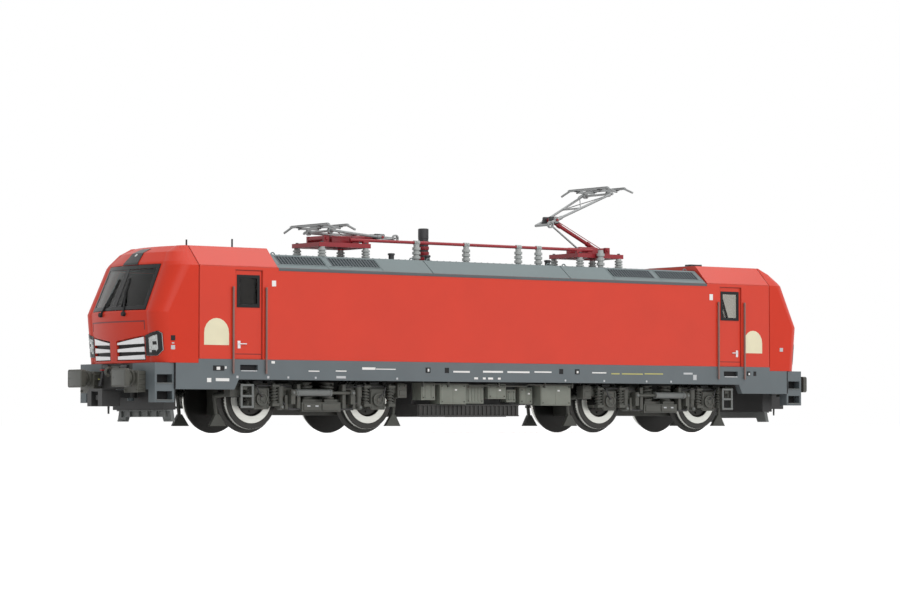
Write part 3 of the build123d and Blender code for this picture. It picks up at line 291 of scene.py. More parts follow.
def finish(name, colour, rough, metal=0.0, coat=0.0, spread=0.05, patches=240, grain=5000, relief=0.08,
           stretch=(1, 1, 1), edge=0.12, gleam=0.5):
    """A painted, moulded or metal surface: soft patches in its colour and gloss, a fine grain, soft edges."""
    made = bpy.data.materials.new(name)
    made.use_nodes = True
    tree = made.node_tree
    shader = tree.nodes["Principled BSDF"]
    shader.inputs["Metallic"].default_value = metal
    shader.inputs["Specular IOR Level"].default_value = gleam
    shader.inputs["Coat Weight"].default_value = coat
    shader.inputs["Coat Roughness"].default_value = 0.12
    where = tree.nodes.new("ShaderNodeTexCoord")
    stretched = tree.nodes.new("ShaderNodeMapping")
    stretched.inputs["Scale"].default_value = stretch
    cloud = tree.nodes.new("ShaderNodeTexNoise")
    cloud.inputs["Scale"].default_value = patches
    cloud.inputs["Detail"].default_value = 4
    tint = tree.nodes.new("ShaderNodeValToRGB")
    tint.color_ramp.elements[0].position = 0.3
    tint.color_ramp.elements[0].color = shaded(colour, 1 - spread)
    tint.color_ramp.elements[1].position = 0.7
    tint.color_ramp.elements[1].color = shaded(colour, 1 + spread)
    gloss = tree.nodes.new("ShaderNodeMapRange")
    gloss.inputs["To Min"].default_value = 0.88 * rough
    gloss.inputs["To Max"].default_value = 1.12 * rough
    fine = tree.nodes.new("ShaderNodeTexNoise")
    fine.inputs["Scale"].default_value = grain
    rounded = tree.nodes.new("ShaderNodeBevel")
    rounded.samples = 4
    rounded.inputs["Radius"].default_value = edge * MM
    bump = tree.nodes.new("ShaderNodeBump")
    bump.inputs["Strength"].default_value = relief
    bump.inputs["Distance"].default_value = 0.00005
    links = (
        (where.outputs["Object"], stretched.inputs["Vector"]),
        (stretched.outputs["Vector"], cloud.inputs["Vector"]),
        (stretched.outputs["Vector"], fine.inputs["Vector"]),
        (cloud.outputs["Fac"], tint.inputs["Fac"]),
        (cloud.outputs["Fac"], gloss.inputs["Value"]),
        (fine.outputs["Fac"], bump.inputs["Height"]),
        (rounded.outputs["Normal"], bump.inputs["Normal"]),
        (tint.outputs["Color"], shader.inputs["Base Color"]),
        (gloss.outputs["Result"], shader.inputs["Roughness"]),
        (bump.outputs["Normal"], shader.inputs["Normal"]),
    )
    for start, end in links:
        tree.links.new(start, end)
    return made


def clear_finish(name, colour, rough, gleam):
    """Clear plastic, lightly tinted."""
    made = finish(name, colour, rough, spread=0.03, relief=0.002, edge=0.01, gleam=gleam)
    shader = made.node_tree.nodes["Principled BSDF"]
    shader.inputs["Transmission Weight"].default_value = 1.0
    shader.inputs["IOR"].default_value = 1.28
    return made


BRUSHED = (1, 1, 14)
slot_finishes = {
    "body_red": finish("red_satin_paint", (0.625, 0.041, 0.017), 0.34, coat=0.12, spread=0.03, patches=90,
                       grain=2600, relief=0.05, edge=0.35, gleam=0.35),
    "roof_grey": finish("roof_grey_paint", (0.165, 0.205, 0.21), 0.55, patches=120, edge=0.2, gleam=0.35),
    "sill_grey": finish("sill_grey_paint", (0.118, 0.14, 0.15), 0.5, patches=120, edge=0.2, gleam=0.4),
    "bogie_grey": finish("bogie_grey_plastic", (0.07, 0.072, 0.062), 0.55, spread=0.14, relief=0.15),
    "die_cast": finish("dark_die_cast", (0.03, 0.03, 0.03), 0.6, spread=0.15, relief=0.2),
    "wheel_steel": finish("darkened_wheel_steel", (0.036, 0.035, 0.032), 0.4, metal=0.4, spread=0.1),
    "bright_steel": finish("bright_turned_steel", (0.74, 0.75, 0.70), 0.34, metal=0.7, spread=0.06,
                           stretch=BRUSHED),
    "window_glass": clear_finish("smoked_clear_plastic", (0.36, 0.37, 0.35), 0.02, 0.15),
    "lamp_clear": finish("silvered_lamp", (0.38, 0.39, 0.39), 0.22, metal=0.5, coat=0.6, spread=0.08),
    "bar_silver": finish("silver_printing", (0.74, 0.74, 0.75), 0.3, metal=0.35, spread=0.04),
    "buffer_grey": finish("buffer_grey_plastic", (0.066, 0.066, 0.055), 0.5, spread=0.12, relief=0.15),
    "coupler_black": finish("coupler_black_plastic", (0.022, 0.022, 0.022), 0.45, spread=0.15),
    "equipment_grey": finish("equipment_grey_plastic", (0.195, 0.21, 0.178), 0.55, spread=0.1, relief=0.15),
    "tray_dark": finish("tray_dark_plastic", (0.035, 0.035, 0.033), 0.6, spread=0.12, relief=0.15),
    "line_red": finish("oxide_red_paint", (0.30, 0.018, 0.026), 0.4, spread=0.08),
    "arm_grey": finish("arm_grey_paint", (0.30, 0.31, 0.31), 0.4, metal=0.3, spread=0.08),
    "insulator_grey": finish("insulator_grey_plastic", (0.42, 0.44, 0.43), 0.45, spread=0.06),
    "fitting_black": finish("fitting_black_plastic", (0.025, 0.025, 0.027), 0.45, spread=0.12),
    "handrail_steel": finish("handrail_grey_paint", (0.2, 0.12, 0.105), 0.4, metal=0.2, spread=0.08),
    # The cab interior is near black: painted shade for the inside of the cabs.
    "interior_grey": finish("cab_interior_painted_shade", (0.013, 0.014, 0.013), 0.7, spread=0.1, gleam=0.15),
}
door_glass = clear_finish("door_clear_plastic", (0.95, 0.89, 0.83), 0.02, 0.18)
# A darker, less glossy copy of the body red for the noses: painted shade on the nose fronts.
nose_red_painted_shade = finish("red_nose_painted_shade", (0.6, 0.037, 0.015), 0.4, spread=0.03, patches=90, grain=2600,
                  relief=0.05, edge=0.35, gleam=0.22)
gloss_black = finish("gloss_black_printing", (0.012, 0.012, 0.013), 0.32, gleam=0.25)
matt_black = finish("matt_black_print", (0.012, 0.012, 0.013), 0.6, gleam=0.25)
groove_red = finish("groove_dark_red", (0.16, 0.012, 0.01), 0.5)
pale_print = finish("pale_grey_printing", (0.52, 0.54, 0.55), 0.5)
white_print = finish("white_printing", (0.80, 0.80, 0.78), 0.5)
yellow_print = finish("yellow_printing", (0.48, 0.45, 0.16), 0.5)
cream_print = finish("cream_printing", (0.76, 0.71, 0.50), 0.5)
louvre_grey = finish("louvre_dark_grey", (0.06, 0.072, 0.084), 0.55)
# Dark grey for the painted shadow under the roof's edge, and for the roof bolts and insulator feet.
shadow_and_fitting_grey = finish("shadow_and_fitting_dark_grey", (0.08, 0.094, 0.1), 0.55)
lens_clear = finish("lens_pearl", (0.55, 0.58, 0.57), 0.2, coat=0.5)
buffer_face_grey = finish("buffer_face_grey", (0.1, 0.104, 0.094), 0.5, spread=0.1)
step_grey = finish("step_light_grey", (0.15, 0.16, 0.155), 0.5, spread=0.1)
graphite = finish("contact_strip_graphite", (0.07, 0.07, 0.072), 0.5, metal=0.4, spread=0.12)
signal_red = finish("signal_red_paint", (0.52, 0.03, 0.03), 0.4, spread=0.06)

for row in frame["record"]["subparts"]:
    data = nodes[row["node"]].data
    data.materials.clear()
    data.materials.append(slot_finishes[row["material_slot"]])
nodes["door_windows"].data.materials[0] = door_glass
nodes["rail_guards"].data.materials[0] = step_grey
# The noses take the darker copy of the red, which is painted shade.
for nose in ("nose_a", "nose_b"):
    nodes[nose].data.materials[0] = nose_red_painted_shade


# Nose fronts, drawn for end B and copied to end A

def make_screen_trim():
    mesh = bmesh.new()
    nose_patch(mesh, SCREEN, ["windscreens"], border=0.9)
    nose_patch(mesh, PILLAR, ["windscreens"])
    nose_patch(mesh, TOP_LAMP, ["nose_b", "headlamps"], lift=0.08, thick=0.1, pitch=0.125, slit=0.4)
    both_ends(mesh)
    piece("windscreen_borders", mesh, gloss_black)


# solid, across, up: a wiper's foot, and the low and the high end of its blade
WIPER_SPOTS = [("nose_b", 5.2, 28.2), ("windscreens", 3.4, 30.0), ("windscreens", 2.4, 36.8)]
WIPER_PROUD = 0.35
AHEAD = 130


def from_ahead(name, y, z):
    """The spot on a solid at the front of end B, with the face's direction there."""
    return first_hit([name], (AHEAD, y, z), (-1, 0, 0))


def make_wipers():
    mesh = bmesh.new()
    proud = Vector((WIPER_PROUD, 0, 0))
    for side in (-1, 1):
        foot, low, top = [from_ahead(name, side * y, z)[0] for name, y, z in WIPER_SPOTS]
        add_rod(mesh, foot - proud, foot + 2 * proud, 0.55)
        add_rod(mesh, foot + proud, (low + top) / 2 + proud, 0.22)
        add_rod(mesh, low + proud * 0.6, top + proud * 0.6, 0.19)
    both_ends(mesh)
    piece("wipers", mesh, matt_black)


def make_nose_grooves():
    mesh = bmesh.new()
    line = [(-11.6, 26.25), (11.6, 26.25), (11.6, 26.55), (-11.6, 26.55)]
    nose_patch(mesh, line, ["nose_b"], lift=0.0, thick=0.04)
    upright = [(11.6, 24.4), (11.85, 24.4), (11.85, 26.55), (11.6, 26.55)]
    nose_patch(mesh, upright, ["nose_b"], lift=0.0, thick=0.04, sides=(-1, 1))
    both_ends(mesh)
    piece("nose_grooves", mesh, groove_red)


def make_bar_liners():
    mesh = bmesh.new()
    nose_patch(mesh, BAR_POCKET, ["nose_b"], lift=0.0, thick=0.08, sides=(-1, 1))
    both_ends(mesh)
    piece("grille_liners", mesh, matt_black)


# inner edge, outer edge, bottom, top of the dark squares between the lights
DARK_SQUARES = [(14.3, 15.3, 20.8, 21.6), (13.9, 15.0, 18.95, 19.55)]
# across, up, radius
LENSES = [(14.7, 22.5, 0.55), (14.5, 20.15, 0.45), (13.3, 21.7, 0.45), (13.3, 20.0, 0.45)]
TOP_LENS = [(-0.05, 0.0), (-0.05, 0.45), (0.18, 0.45), (0.24, 0.3), (0.26, 0.0)]
TOP_LENS_Z = 42.4


def make_lamp_trim():
    mesh = bmesh.new()
    nose_patch(mesh, LAMP, ["headlamps"], border=0.75, thick=0.12, sides=(-1, 1))
    for y0, y1, z0, z1 in DARK_SQUARES:
        outline = [(y0, z0), (y1, z0), (y1, z1), (y0, z1)]
        nose_patch(mesh, outline, ["headlamps"], thick=0.1, sides=(-1, 1))
    both_ends(mesh)
    piece("lamp_borders", mesh, gloss_black)
    mesh = bmesh.new()
    for side in (-1, 1):
        for y, z, radius in LENSES:
            spot, normal = from_ahead("headlamps", side * y, z)
            dome = [(-0.05, 0.0), (-0.05, radius), (0.1, 0.9 * radius), (0.16, 0.5 * radius), (0.18, 0.0)]
            add_turned(mesh, dome, spot, normal)
    spot, normal = from_ahead("headlamps", 0, TOP_LENS_Z)
    add_turned(mesh, TOP_LENS, spot, normal)
    both_ends(mesh)
    piece("lamp_lenses", mesh, lens_clear)


# along, up: the lining's outline in the nose
LINING_SIDE = [(91.2, 18.9), (98.0, 18.9), (98.7, 28.4), (93.0, 39.0), (91.2, 39.0)]
# start, end, bottom, top of the lining in the cab
LINING = (71.2, 91.2, 18.9, 39.0)
LINING_FACE = 15.85
LINING_THICK = 0.18


def make_cab_linings():
    """Dark sheets inside the cabs, painted shade: ceiling and side panels round the door windows."""
    mesh = bmesh.new()
    x0, x1, z0, z1 = LINING
    w0, w1, v0, v1 = [edge + room for edge, room in zip(DOOR_WINDOW, (-0.3, 0.3, -0.3, 0.3))]
    add_slab(mesh, [(x, LINING_FACE, z) for x, z in LINING_SIDE], (0, LINING_THICK, 0))
    for start, end, low, high in ((x0, x1, z0, v0), (x0, x1, v1, z1), (x0, w0, v0, v1), (w1, x1, v0, v1)):
        add_box(mesh, (start, LINING_FACE, low), (end, LINING_FACE + LINING_THICK, high))
    both_sides(mesh)
    add_box(mesh, (70.4, -15.3, 39.2), (93.4, 15.3, 39.4), edge=0.05)
    both_ends(mesh)
    piece("cab_painted_shade_linings", mesh, slot_finishes["interior_grey"])


def make_desk_trim():
    mesh = bmesh.new()
    for y in (-6.2, -2.6, 1.0, 4.6):
        add_box(mesh, (95.2, y, 27.2), (95.9, y + 2.4, 28.9), edge=0.12)
    add_box(mesh, (94.6, -7.4, 27.2), (96.6, 8.2, 27.5), edge=0.1)
    both_ends(mesh)
    piece("desk_screens", mesh, matt_black)


make_screen_trim()
make_wipers()
make_nose_grooves()
make_bar_liners()
make_lamp_trim()
make_cab_linings()
make_desk_trim()


# Sides: prints, ports and door trim

def side_plate(mesh, x0, x1, z0, z1, face=SIDE, thick=0.04):
    """A thin plate on the near side."""
    add_box(mesh, (x0, -face - thick, z0), (x1, -face + 0.02, z1))


# middle along, middle height, half width, half height
SIDE_PORTS = [
    (-85.9, 15.45, 1.55, 0.6), (-24.1, 15.6, 0.75, 0.65), (-18.2, 15.6, 0.65, 0.65), (18.6, 15.7, 0.65, 0.65),
    (23.9, 15.7, 0.75, 0.65), (83.7, 15.8, 0.6, 0.6), (86.0, 15.8, 0.5, 0.6), (-98.6, 22.4, 0.6, 0.6),
]
PORT_MARKS = [
    (-86.0, 15.4, 0.5, 0.36), (-83.95, 15.6, 0.25, 0.3), (-24.0, 15.6, 0.25, 0.36), (24.0, 15.6, 0.3, 0.3),
    (83.9, 15.7, 0.25, 0.3),
]
WHITE_DASHES = [
    (-58.5, 15.0, 1.6, 0.14), (-50.5, 15.1, 1.6, 0.14), (-42.2, 15.8, 2.0, 0.3), (-37.0, 15.7, 3.0, 0.12),
    (-13.6, 15.3, 2.6, 0.22), (-3.6, 15.4, 3.2, 0.24), (4.6, 15.4, 3.6, 0.22), (12.6, 15.5, 2.8, 0.18),
    (31.3, 15.5, 2.4, 0.16), (-9.0, 13.7, 0.6, 0.26), (-6.4, 13.7, 0.45, 0.26), (-4.4, 13.7, 0.8, 0.26),
    (-1.6, 13.7, 0.45, 0.26), (-88.55, 12.6, 0.6, 0.5), (-84.8, 12.7, 1.9, 0.36), (-70.4, 17.0, 0.5, 0.3),
]
YELLOW_DASHES = [(36.8, 15.3, 1.4, 0.16), (42.6, 15.3, 3.6, 0.16), (50.0, 15.4, 3.2, 0.16)]
PALE_MARKS = [
    (-66.0, 13.4, 0.25, 0.25), (-58.0, 13.4, 0.25, 0.25), (-50.5, 13.6, 1.4, 0.3), (-33.6, 13.4, 0.25, 0.25),
    (20.0, 13.4, 0.25, 0.25), (62.0, 15.6, 1.6, 0.25), (64.4, 14.6, 0.6, 0.7), (56.0, 13.4, 0.25, 0.25),
    (-80.6, 13.4, 0.3, 0.3), (-71.8, 13.4, 0.3, 0.3), (47.5, 13.4, 0.25, 0.25), (33.0, 13.4, 0.25, 0.25),
    (-98.6, 20.2, 0.55, 0.5), (-98.6, 21.2, 0.35, 0.15), (95.8, 22.4, 0.6, 0.5),
]
# piece, table, finish, slot, thickness
SIDE_PRINTS = [
    ("side_ports", SIDE_PORTS, matt_black, "fitting_black", 0.05),
    ("port_marks", PORT_MARKS, white_print, "bar_silver", 0.09),
    ("sill_white_dashes", WHITE_DASHES, white_print, "bar_silver", 0.03),
    ("sill_yellow_dashes", YELLOW_DASHES, yellow_print, "bar_silver", 0.03),
    ("side_pale_marks", PALE_MARKS, pale_print, "bar_silver", 0.03),
]


def make_side_prints():
    for name, table, print_finish, slot, thick in SIDE_PRINTS:
        mesh = bmesh.new()
        for x, z, half_wide, half_tall in table:
            side_plate(mesh, x - half_wide, x + half_wide, z - half_tall, z + half_tall, thick=thick)
        half_turn(mesh)
        piece(name, mesh, print_finish)


def arch_points(x, low, half, high, steps=10):
    middle = high - half
    turns = [math.pi * step / steps for step in range(steps + 1)]
    bow = [(x + half * math.cos(turn), middle + half * math.sin(turn)) for turn in turns]
    return [(x - half, low), (x + half, low)] + bow


def make_cab_prints():
    mesh = bmesh.new()
    for x, low, half, high in ((-86.5, 20.9, 3.5, 27.3), (85.4, 21.3, 3.3, 27.4)):
        points = [(along, -SIDE - 0.03, z) for along, z in arch_points(x, low, half, high)]
        add_slab(mesh, points, (0, 0.06, 0))
    half_turn(mesh)
    piece("blank_arch_patches", mesh, cream_print)
    mesh = bmesh.new()
    for x, z, half_wide, half_tall in ((-70.2, 35.9, 0.6, 0.7), (70.3, 36.1, 0.6, 0.8)):
        side_plate(mesh, x - half_wide, x + half_wide, z - half_tall, z + half_tall)
    half_turn(mesh)
    piece("blank_white_plates", mesh, white_print)


def make_door_trim():
    x0, x1, z0, z1 = DOOR_WINDOW
    part = bmesh.new()
    corners = ((x0 - 0.35, z0 - 0.35), (x1 + 0.35, z0 - 0.35), (x1 + 0.35, z1 + 0.35), (x0 - 0.35, z1 + 0.35))
    patch(part, [(x, -DOOR_FACE, z) for x, z in corners], border=0.75)
    thickened(part, part.faces[:], (0, -0.12, 0))
    all_corners(part)
    piece("door_window_seals", part, matt_black)
    mesh = bmesh.new()
    left, right, low, high = DOOR
    side_plate(mesh, left + 0.2, right - 0.2, 18.8, 18.98, face=DOOR_FACE)
    side_plate(mesh, left, left + 0.12, low, high, face=DOOR_FACE)
    side_plate(mesh, right - 0.12, right, low, high, face=DOOR_FACE)
    side_plate(mesh, left, right, high - 0.12, high, face=DOOR_FACE)
    all_corners(mesh)
    piece("door_lines", mesh, groove_red)
    mesh = bmesh.new()
    add_box(mesh, (79.5, -DOOR_FACE - 0.12, 20.2), (80.3, -DOOR_FACE + 0.02, 22.0), edge=0.05)
    add_rod(mesh, (79.9, -DOOR_FACE, 21.3), (79.9, -DOOR_FACE - 0.4, 21.3), 0.16)
    add_rod(mesh, (79.9, -DOOR_FACE - 0.35, 21.3), (77.9, -DOOR_FACE - 0.35, 21.3), 0.14)
    all_corners(mesh)
    piece("door_handles", mesh, slot_finishes["bar_silver"])


def make_foot_slots():
    # Dark sheets behind the foot slots: painted shade in the openings.
    mesh = bmesh.new()
    add_box(mesh, (74.8, -SIDE + 0.84, 15.0), (79.8, -SIDE + 0.92, 16.3))
    all_corners(mesh)
    piece("foot_slot_painted_shade", mesh, matt_black)
    mesh = bmesh.new()
    add_box(mesh, (75.0, -SIDE - 0.12, 14.75), (79.6, -SIDE + 0.3, 15.0), edge=0.05)
    all_corners(mesh)
    piece("foot_slot_lips", mesh, pale_print)


make_side_prints()
make_cab_prints()
make_door_trim()
make_foot_slots()


# Ends: what hangs on the end beams, drawn for the left side of end B

def make_end_beam_trim():
    mesh = bmesh.new()
    # A dark plate across the end beam between the buffers: painted shade.
    add_box(mesh, (END_FACE - 0.05, -7.0, 10.5), (END_FACE + 0.08, 7.0, 16.5))
    both_ends(mesh)
    piece("end_beam_painted_shade", mesh, slot_finishes["tray_dark"])
    # Dark sheets at the back of the corner steps' openings: painted shade.
    mesh = bmesh.new()
    for low in (7.95, 11.89):
        for side in (-1, 1):
            y = side * 14.83
            add_box(mesh, (98.65, y - 0.05, low), (102.75, y + 0.05, low + 1.9))
    both_ends(mesh)
    piece("corner_step_painted_shade", mesh, matt_black)
    mesh = bmesh.new()
    add_box(mesh, (END_FACE, -2.3, 12.4), (END_FACE + 0.4, 2.3, 16.0), edge=0.12)
    for y in (-1.8, 1.8):
        for z in (12.9, 15.5):
            add_bolt(mesh, (END_FACE + 0.4, y, z), ALONG, 0.3, 0.25)
    add_box(mesh, (END_FACE + 0.3, -0.45, 13.6), (END_FACE + 1.7, 0.45, 14.7), edge=0.15)
    add_swept(mesh, (105.6, 0, 14.6), ACROSS, (105.6, 0, 13.7), 0.38, math.radians(-230), 14, sides=8)
    both_ends(mesh)
    piece("draw_hooks", mesh, slot_finishes["buffer_grey"])


def make_end_pipes():
    mesh = bmesh.new()
    add_pipe(mesh, [(END_FACE, 4.4, 14.8), (104.7, 4.4, 14.6), (105.2, 4.4, 12.0)], 0.34)
    add_rod(mesh, (105.2, 4.4, 12.1), (105.3, 4.4, 11.3), 0.5, tip=0.42)
    add_pipe(mesh, [(END_FACE, 6.2, 12.8), (104.4, 6.2, 12.5), (104.7, 6.2, 11.2)], 0.28)
    add_box(mesh, (END_FACE, 2.9, 15.2), (104.2, 5.4, 16.2), edge=0.12)
    all_corners(mesh)
    piece("end_beam_pipes", mesh, slot_finishes["fitting_black"])
    mesh = bmesh.new()
    add_box(mesh, (104.3, 4.05, 14.95), (105.3, 4.75, 15.2), edge=0.06)
    all_corners(mesh)
    piece("pipe_handles_red", mesh, signal_red)
    mesh = bmesh.new()
    add_box(mesh, (104.1, 5.9, 12.8), (104.8, 6.5, 13.05), edge=0.06)
    all_corners(mesh)
    piece("pipe_handles_yellow", mesh, yellow_print)


BUFFER_Z = 13.1
BUFFER_PLATE = 105.68
BUFFER_FACE = 109.1
BUFFER_COLLAR = [(-0.1, 1.5), (-0.1, 2.0), (0.35, 2.0), (0.5, 1.8), (0.5, 1.5)]


def make_buffer_trim():
    mesh = bmesh.new()
    for z in (10.4, 11.6, 12.8, 14.0):
        add_box(mesh, (103.5, 7.02, z - 0.16), (105.5, 13.1, z + 0.16), edge=0.05)
    add_box(mesh, (BUFFER_PLATE - 0.38, 6.95, 9.6), (BUFFER_PLATE, 13.17, 14.8), edge=0.08)
    for y in (7.5, 12.6):
        for z in (10.1, 14.3):
            add_bolt(mesh, (BUFFER_PLATE, y, z), ALONG, 0.32, 0.22)
    add_turned(mesh, BUFFER_COLLAR, (BUFFER_PLATE, 10.06, BUFFER_Z), ALONG, closed=True)
    all_corners(mesh)
    piece("buffer_boxes", mesh, slot_finishes["buffer_grey"])
    mesh = bmesh.new()
    add_box(mesh, (BUFFER_FACE - 0.04, 7.3, 11.35), (BUFFER_FACE + 0.04, 12.8, 14.85), edge=0.03)
    for y in (7.7, 12.4):
        add_bolt(mesh, (BUFFER_FACE, y, BUFFER_Z), ALONG, 0.28, 0.08)
    all_corners(mesh)
    piece("buffer_faces", mesh, buffer_face_grey)


def make_step_trim():
    mesh = bmesh.new()
    for z in (7.75, 11.68):
        add_box(mesh, (98.4, 16.6, z), (103.0, 17.25, z + 0.2), edge=0.06)
    add_rod(mesh, (103.2, 16.4, 16.4), (103.2, 16.4, 12.6), 0.16)
    all_corners(mesh)
    piece("corner_step_treads", mesh, step_grey)
    mesh = bmesh.new()
    add_box(mesh, (97.82, 16.6, 10.5), (98.14, 17.34, 16.55))
    all_corners(mesh)
    piece("corner_step_seams", mesh, matt_black)


def make_guard_trim():
    mesh = bmesh.new()
    for y in (2.0, 6.0, 10.0):
        add_box(mesh, (95.75, y - 0.25, 3.9), (96.3, y + 0.25, 5.7), edge=0.06)
        add_bolt(mesh, (95.8, y + 0.9, 5.1), ALONG, 0.25, 0.2)
    add_box(mesh, (95.7, 9.2, 2.85), (96.1, 11.9, 3.2), edge=0.06)
    both_sides(mesh)
    add_box(mesh, (95.7, -11.6, 5.3), (96.5, 11.6, 5.6), edge=0.08)
    both_ends(mesh)
    piece("rail_guard_ribs", mesh, step_grey)


def make_coupler_trim():
    for end, sign in ENDS:
        mesh = bmesh.new()
        for y in (-2.5, 2.5):
            add_box(mesh, (105.6, y - 0.35, 9.95), (108.2, y + 0.35, 10.15), edge=0.05)
        add_rod(mesh, (107.0, -2.2, 6.5), (107.0, -2.2, 4.6), 0.28, tip=0.22)
        add_rod(mesh, (99.6, 0, 9.7), (99.6, 0, 10.0), 1.3, sides=18, tip=1.2)
        add_box(mesh, (101.0, -0.5, 9.75), (104.4, 0.5, 9.95), edge=0.05)
        bmesh.ops.scale(mesh, vec=(sign, 1, 1), verts=mesh.verts)
        look = slot_finishes["coupler_black"]
        piece(f"coupler_trim_{end}", mesh, look, body=f"coupler_{end}")


make_end_beam_trim()
make_end_pipes()
make_buffer_trim()
make_step_trim()
make_guard_trim()
make_coupler_trim()


# Underfloor, drawn for the left side

CORE_HALF = 24.16
CORE_SIDE = 10.5
CORE_BOTTOM = 7.2
# start and end as shares of the core's half length, bottom and top above its bottom, depth, ribs on its face
EQUIPMENT = [
    (-0.99, -0.81, 1.0, 5.4, 3.7, 2),
    (-0.76, -0.42, 0.0, 5.2, 4.1, 0),
    (-0.38, -0.15, 0.2, 5.0, 2.9, 5),
    (-0.11, 0.13, 1.4, 5.2, 3.5, 0),
    (0.17, 0.29, 0.6, 3.8, 2.5, 3),
    (0.36, 0.53, 0.2, 4.4, 2.1, 0),
    (0.58, 0.99, -0.2, 5.2, 4.1, 0),
]


def make_equipment_trim():
    lids = bmesh.new()
    bolts = bmesh.new()
    marks = bmesh.new()
    for start, end, low, high, depth, ribs in EQUIPMENT:
        face = CORE_SIDE + depth
        x0, x1 = start * CORE_HALF + 0.3, end * CORE_HALF - 0.3
        z0, z1 = CORE_BOTTOM + low + 0.3, CORE_BOTTOM + high - 0.3
        add_box(lids, (x0, face - 0.05, z0), (x1, face + 0.12, z1), edge=0.06)
        for rib in range(ribs):
            x = x0 + (x1 - x0) * (rib + 0.5) / ribs
            add_box(lids, (x - 0.14, face, z0 + 0.3), (x + 0.14, face + 0.26, z1 - 0.3), edge=0.05)
        for x in (x0 + 0.35, x1 - 0.35):
            for z in (z0 + 0.35, z1 - 0.35):
                add_bolt(bolts, (x, face + 0.12, z), ACROSS, 0.2, 0.14)
        if not ribs:
            middle = (x0 + x1) / 2
            add_box(lids, (middle - 0.12, face, z0), (middle + 0.12, face + 0.2, z1), edge=0.04)
            add_box(marks, (middle + 0.5, face, z1 - 1.5), (middle + 1.2, face + 0.15, z1 - 1.1))
    for mesh in (lids, bolts, marks):
        both_sides(mesh)
    piece("equipment_lids", lids, slot_finishes["equipment_grey"])
    piece("equipment_bolts", bolts, slot_finishes["bogie_grey"])
    piece("equipment_marks", marks, white_print)


def make_tray_trim():
    mesh = bmesh.new()
    for step in range(24):
        x = -23.8 + step * 1.34
        add_box(mesh, (x, 12.9, 4.5), (x + 0.35, 13.3, 6.9), edge=0.06)
    add_box(mesh, (-24.1, 12.9, 6.85), (7.9, 13.35, 7.15), edge=0.06)
    add_box(mesh, (-24.1, 12.9, 4.22), (7.9, 13.35, 4.5), edge=0.06)
    both_sides(mesh)
    for x in (-20.0, -12.0, -4.0, 4.0):
        add_box(mesh, (x - 0.3, -12.6, 4.05), (x + 0.3, 12.6, 4.3), edge=0.06)
    piece("transformer_ribs", mesh, slot_finishes["tray_dark"])
    mesh = bmesh.new()
    add_rod(mesh, (11.5, 10.9, 8.2), (22.8, 10.9, 8.2), 1.0, sides=18)
    add_pipe(mesh, [(-24.4, 15.0, 12.3), (-10.0, 15.0, 12.3), (-9.4, 15.0, 11.9), (9.0, 15.0, 11.9),
                    (9.6, 15.0, 12.3), (24.4, 15.0, 12.3)], 0.2)
    for x in (-24.0, -16.0, 0.0, 15.0, 24.0):
        add_box(mesh, (x - 0.2, 14.7, 11.5), (x + 0.2, 15.3, 13.0), edge=0.05)
    both_sides(mesh)
    piece("underfloor_pipes", mesh, slot_finishes["bogie_grey"])


make_equipment_trim()
make_tray_trim()


# Bogies: drawn for the left side of end B's bogie, about its pivot, outer end to +X

AXLE_SPRINGS = (13.55, 20.95)
SPRING_Y = 14.2
# place along, place across, radius, bottom, top, turns
SPRINGS = [(3.2, 12.3, 1.9, 8.2, 12.3, 4)] + [(x, SPRING_Y, 1.0, 7.2, 11.2, 5) for x in AXLE_SPRINGS]
DAMPER_Y = 15.1
DAMPER_Z = 9.8
DAMPER_EYE = 8.8
LEVER = (11.6, 13.9)
LEVER_PIN_Z = 6.3
COVER_FACE = 14.7
COVER_BOLTS = 0.88
COVER_LIP = [(-0.1, 1.62), (0.1, 1.62), (0.16, 1.5), (0.16, 1.2), (-0.1, 1.2)]
CENTRE_CAP = [(-0.1, 0.0), (-0.1, 0.55), (0.15, 0.55), (0.25, 0.35), (0.25, 0.0)]


def draw_springs(mesh):
    for x, y, radius, low, high, turns in SPRINGS:
        add_rod(mesh, (x, y, low), (x, y, high), 0.55 * radius)
        for z in (low, high - 0.2):
            add_rod(mesh, (x, y, z), (x, y, z + 0.2), 0.95 * radius, sides=18)
        add_coil(mesh, (x, y, low), (x, y, high), radius, 0.2 * radius, turns)


def draw_axle_covers(mesh):
    centre = (AXLE, COVER_FACE, AXLE_Z)
    add_turned(mesh, COVER_LIP, centre, ACROSS, closed=True)
    add_turned(mesh, CENTRE_CAP, centre, ACROSS)
    for step in range(6):
        turn = math.pi * step / 3
        spot = Vector(centre) + COVER_BOLTS * Vector((math.cos(turn), 0, math.sin(turn)))
        add_bolt(mesh, spot, ACROSS, 0.15, 0.12)
    for side in (-1, 1):
        x = AXLE + side * 2.0
        add_box(mesh, (x - 0.15, 14.1, 7.0), (x + 0.15, 14.45, 10.2), edge=0.05)
        for z in (6.45, 10.4):
            add_bolt(mesh, (AXLE + side * 1.85, 14.2, z), ACROSS, 0.24, 0.18)


def draw_brakes(mesh):
    """The brake shoes' carriers between wheel and frame, hung on the frame."""
    add_box(mesh, (AXLE - 4.4, 10.3, 10.7), (AXLE + 4.4, 11.1, 13.4), edge=0.2)
    add_box(mesh, (AXLE - 1.4, 10.8, 11.7), (AXLE + 1.4, 12.9, 12.6), edge=0.15)
    for side in (-1, 1):
        add_rod(mesh, (AXLE + side * 3.0, 10.9, 12.2), (AXLE + side * 3.0, 13.0, 11.9), 0.5)
        add_box(mesh, (AXLE + side * 5.6 - 0.9, 10.3, 8.6), (AXLE + side * 5.6 + 0.9, 11.3, 11.9), edge=0.15)


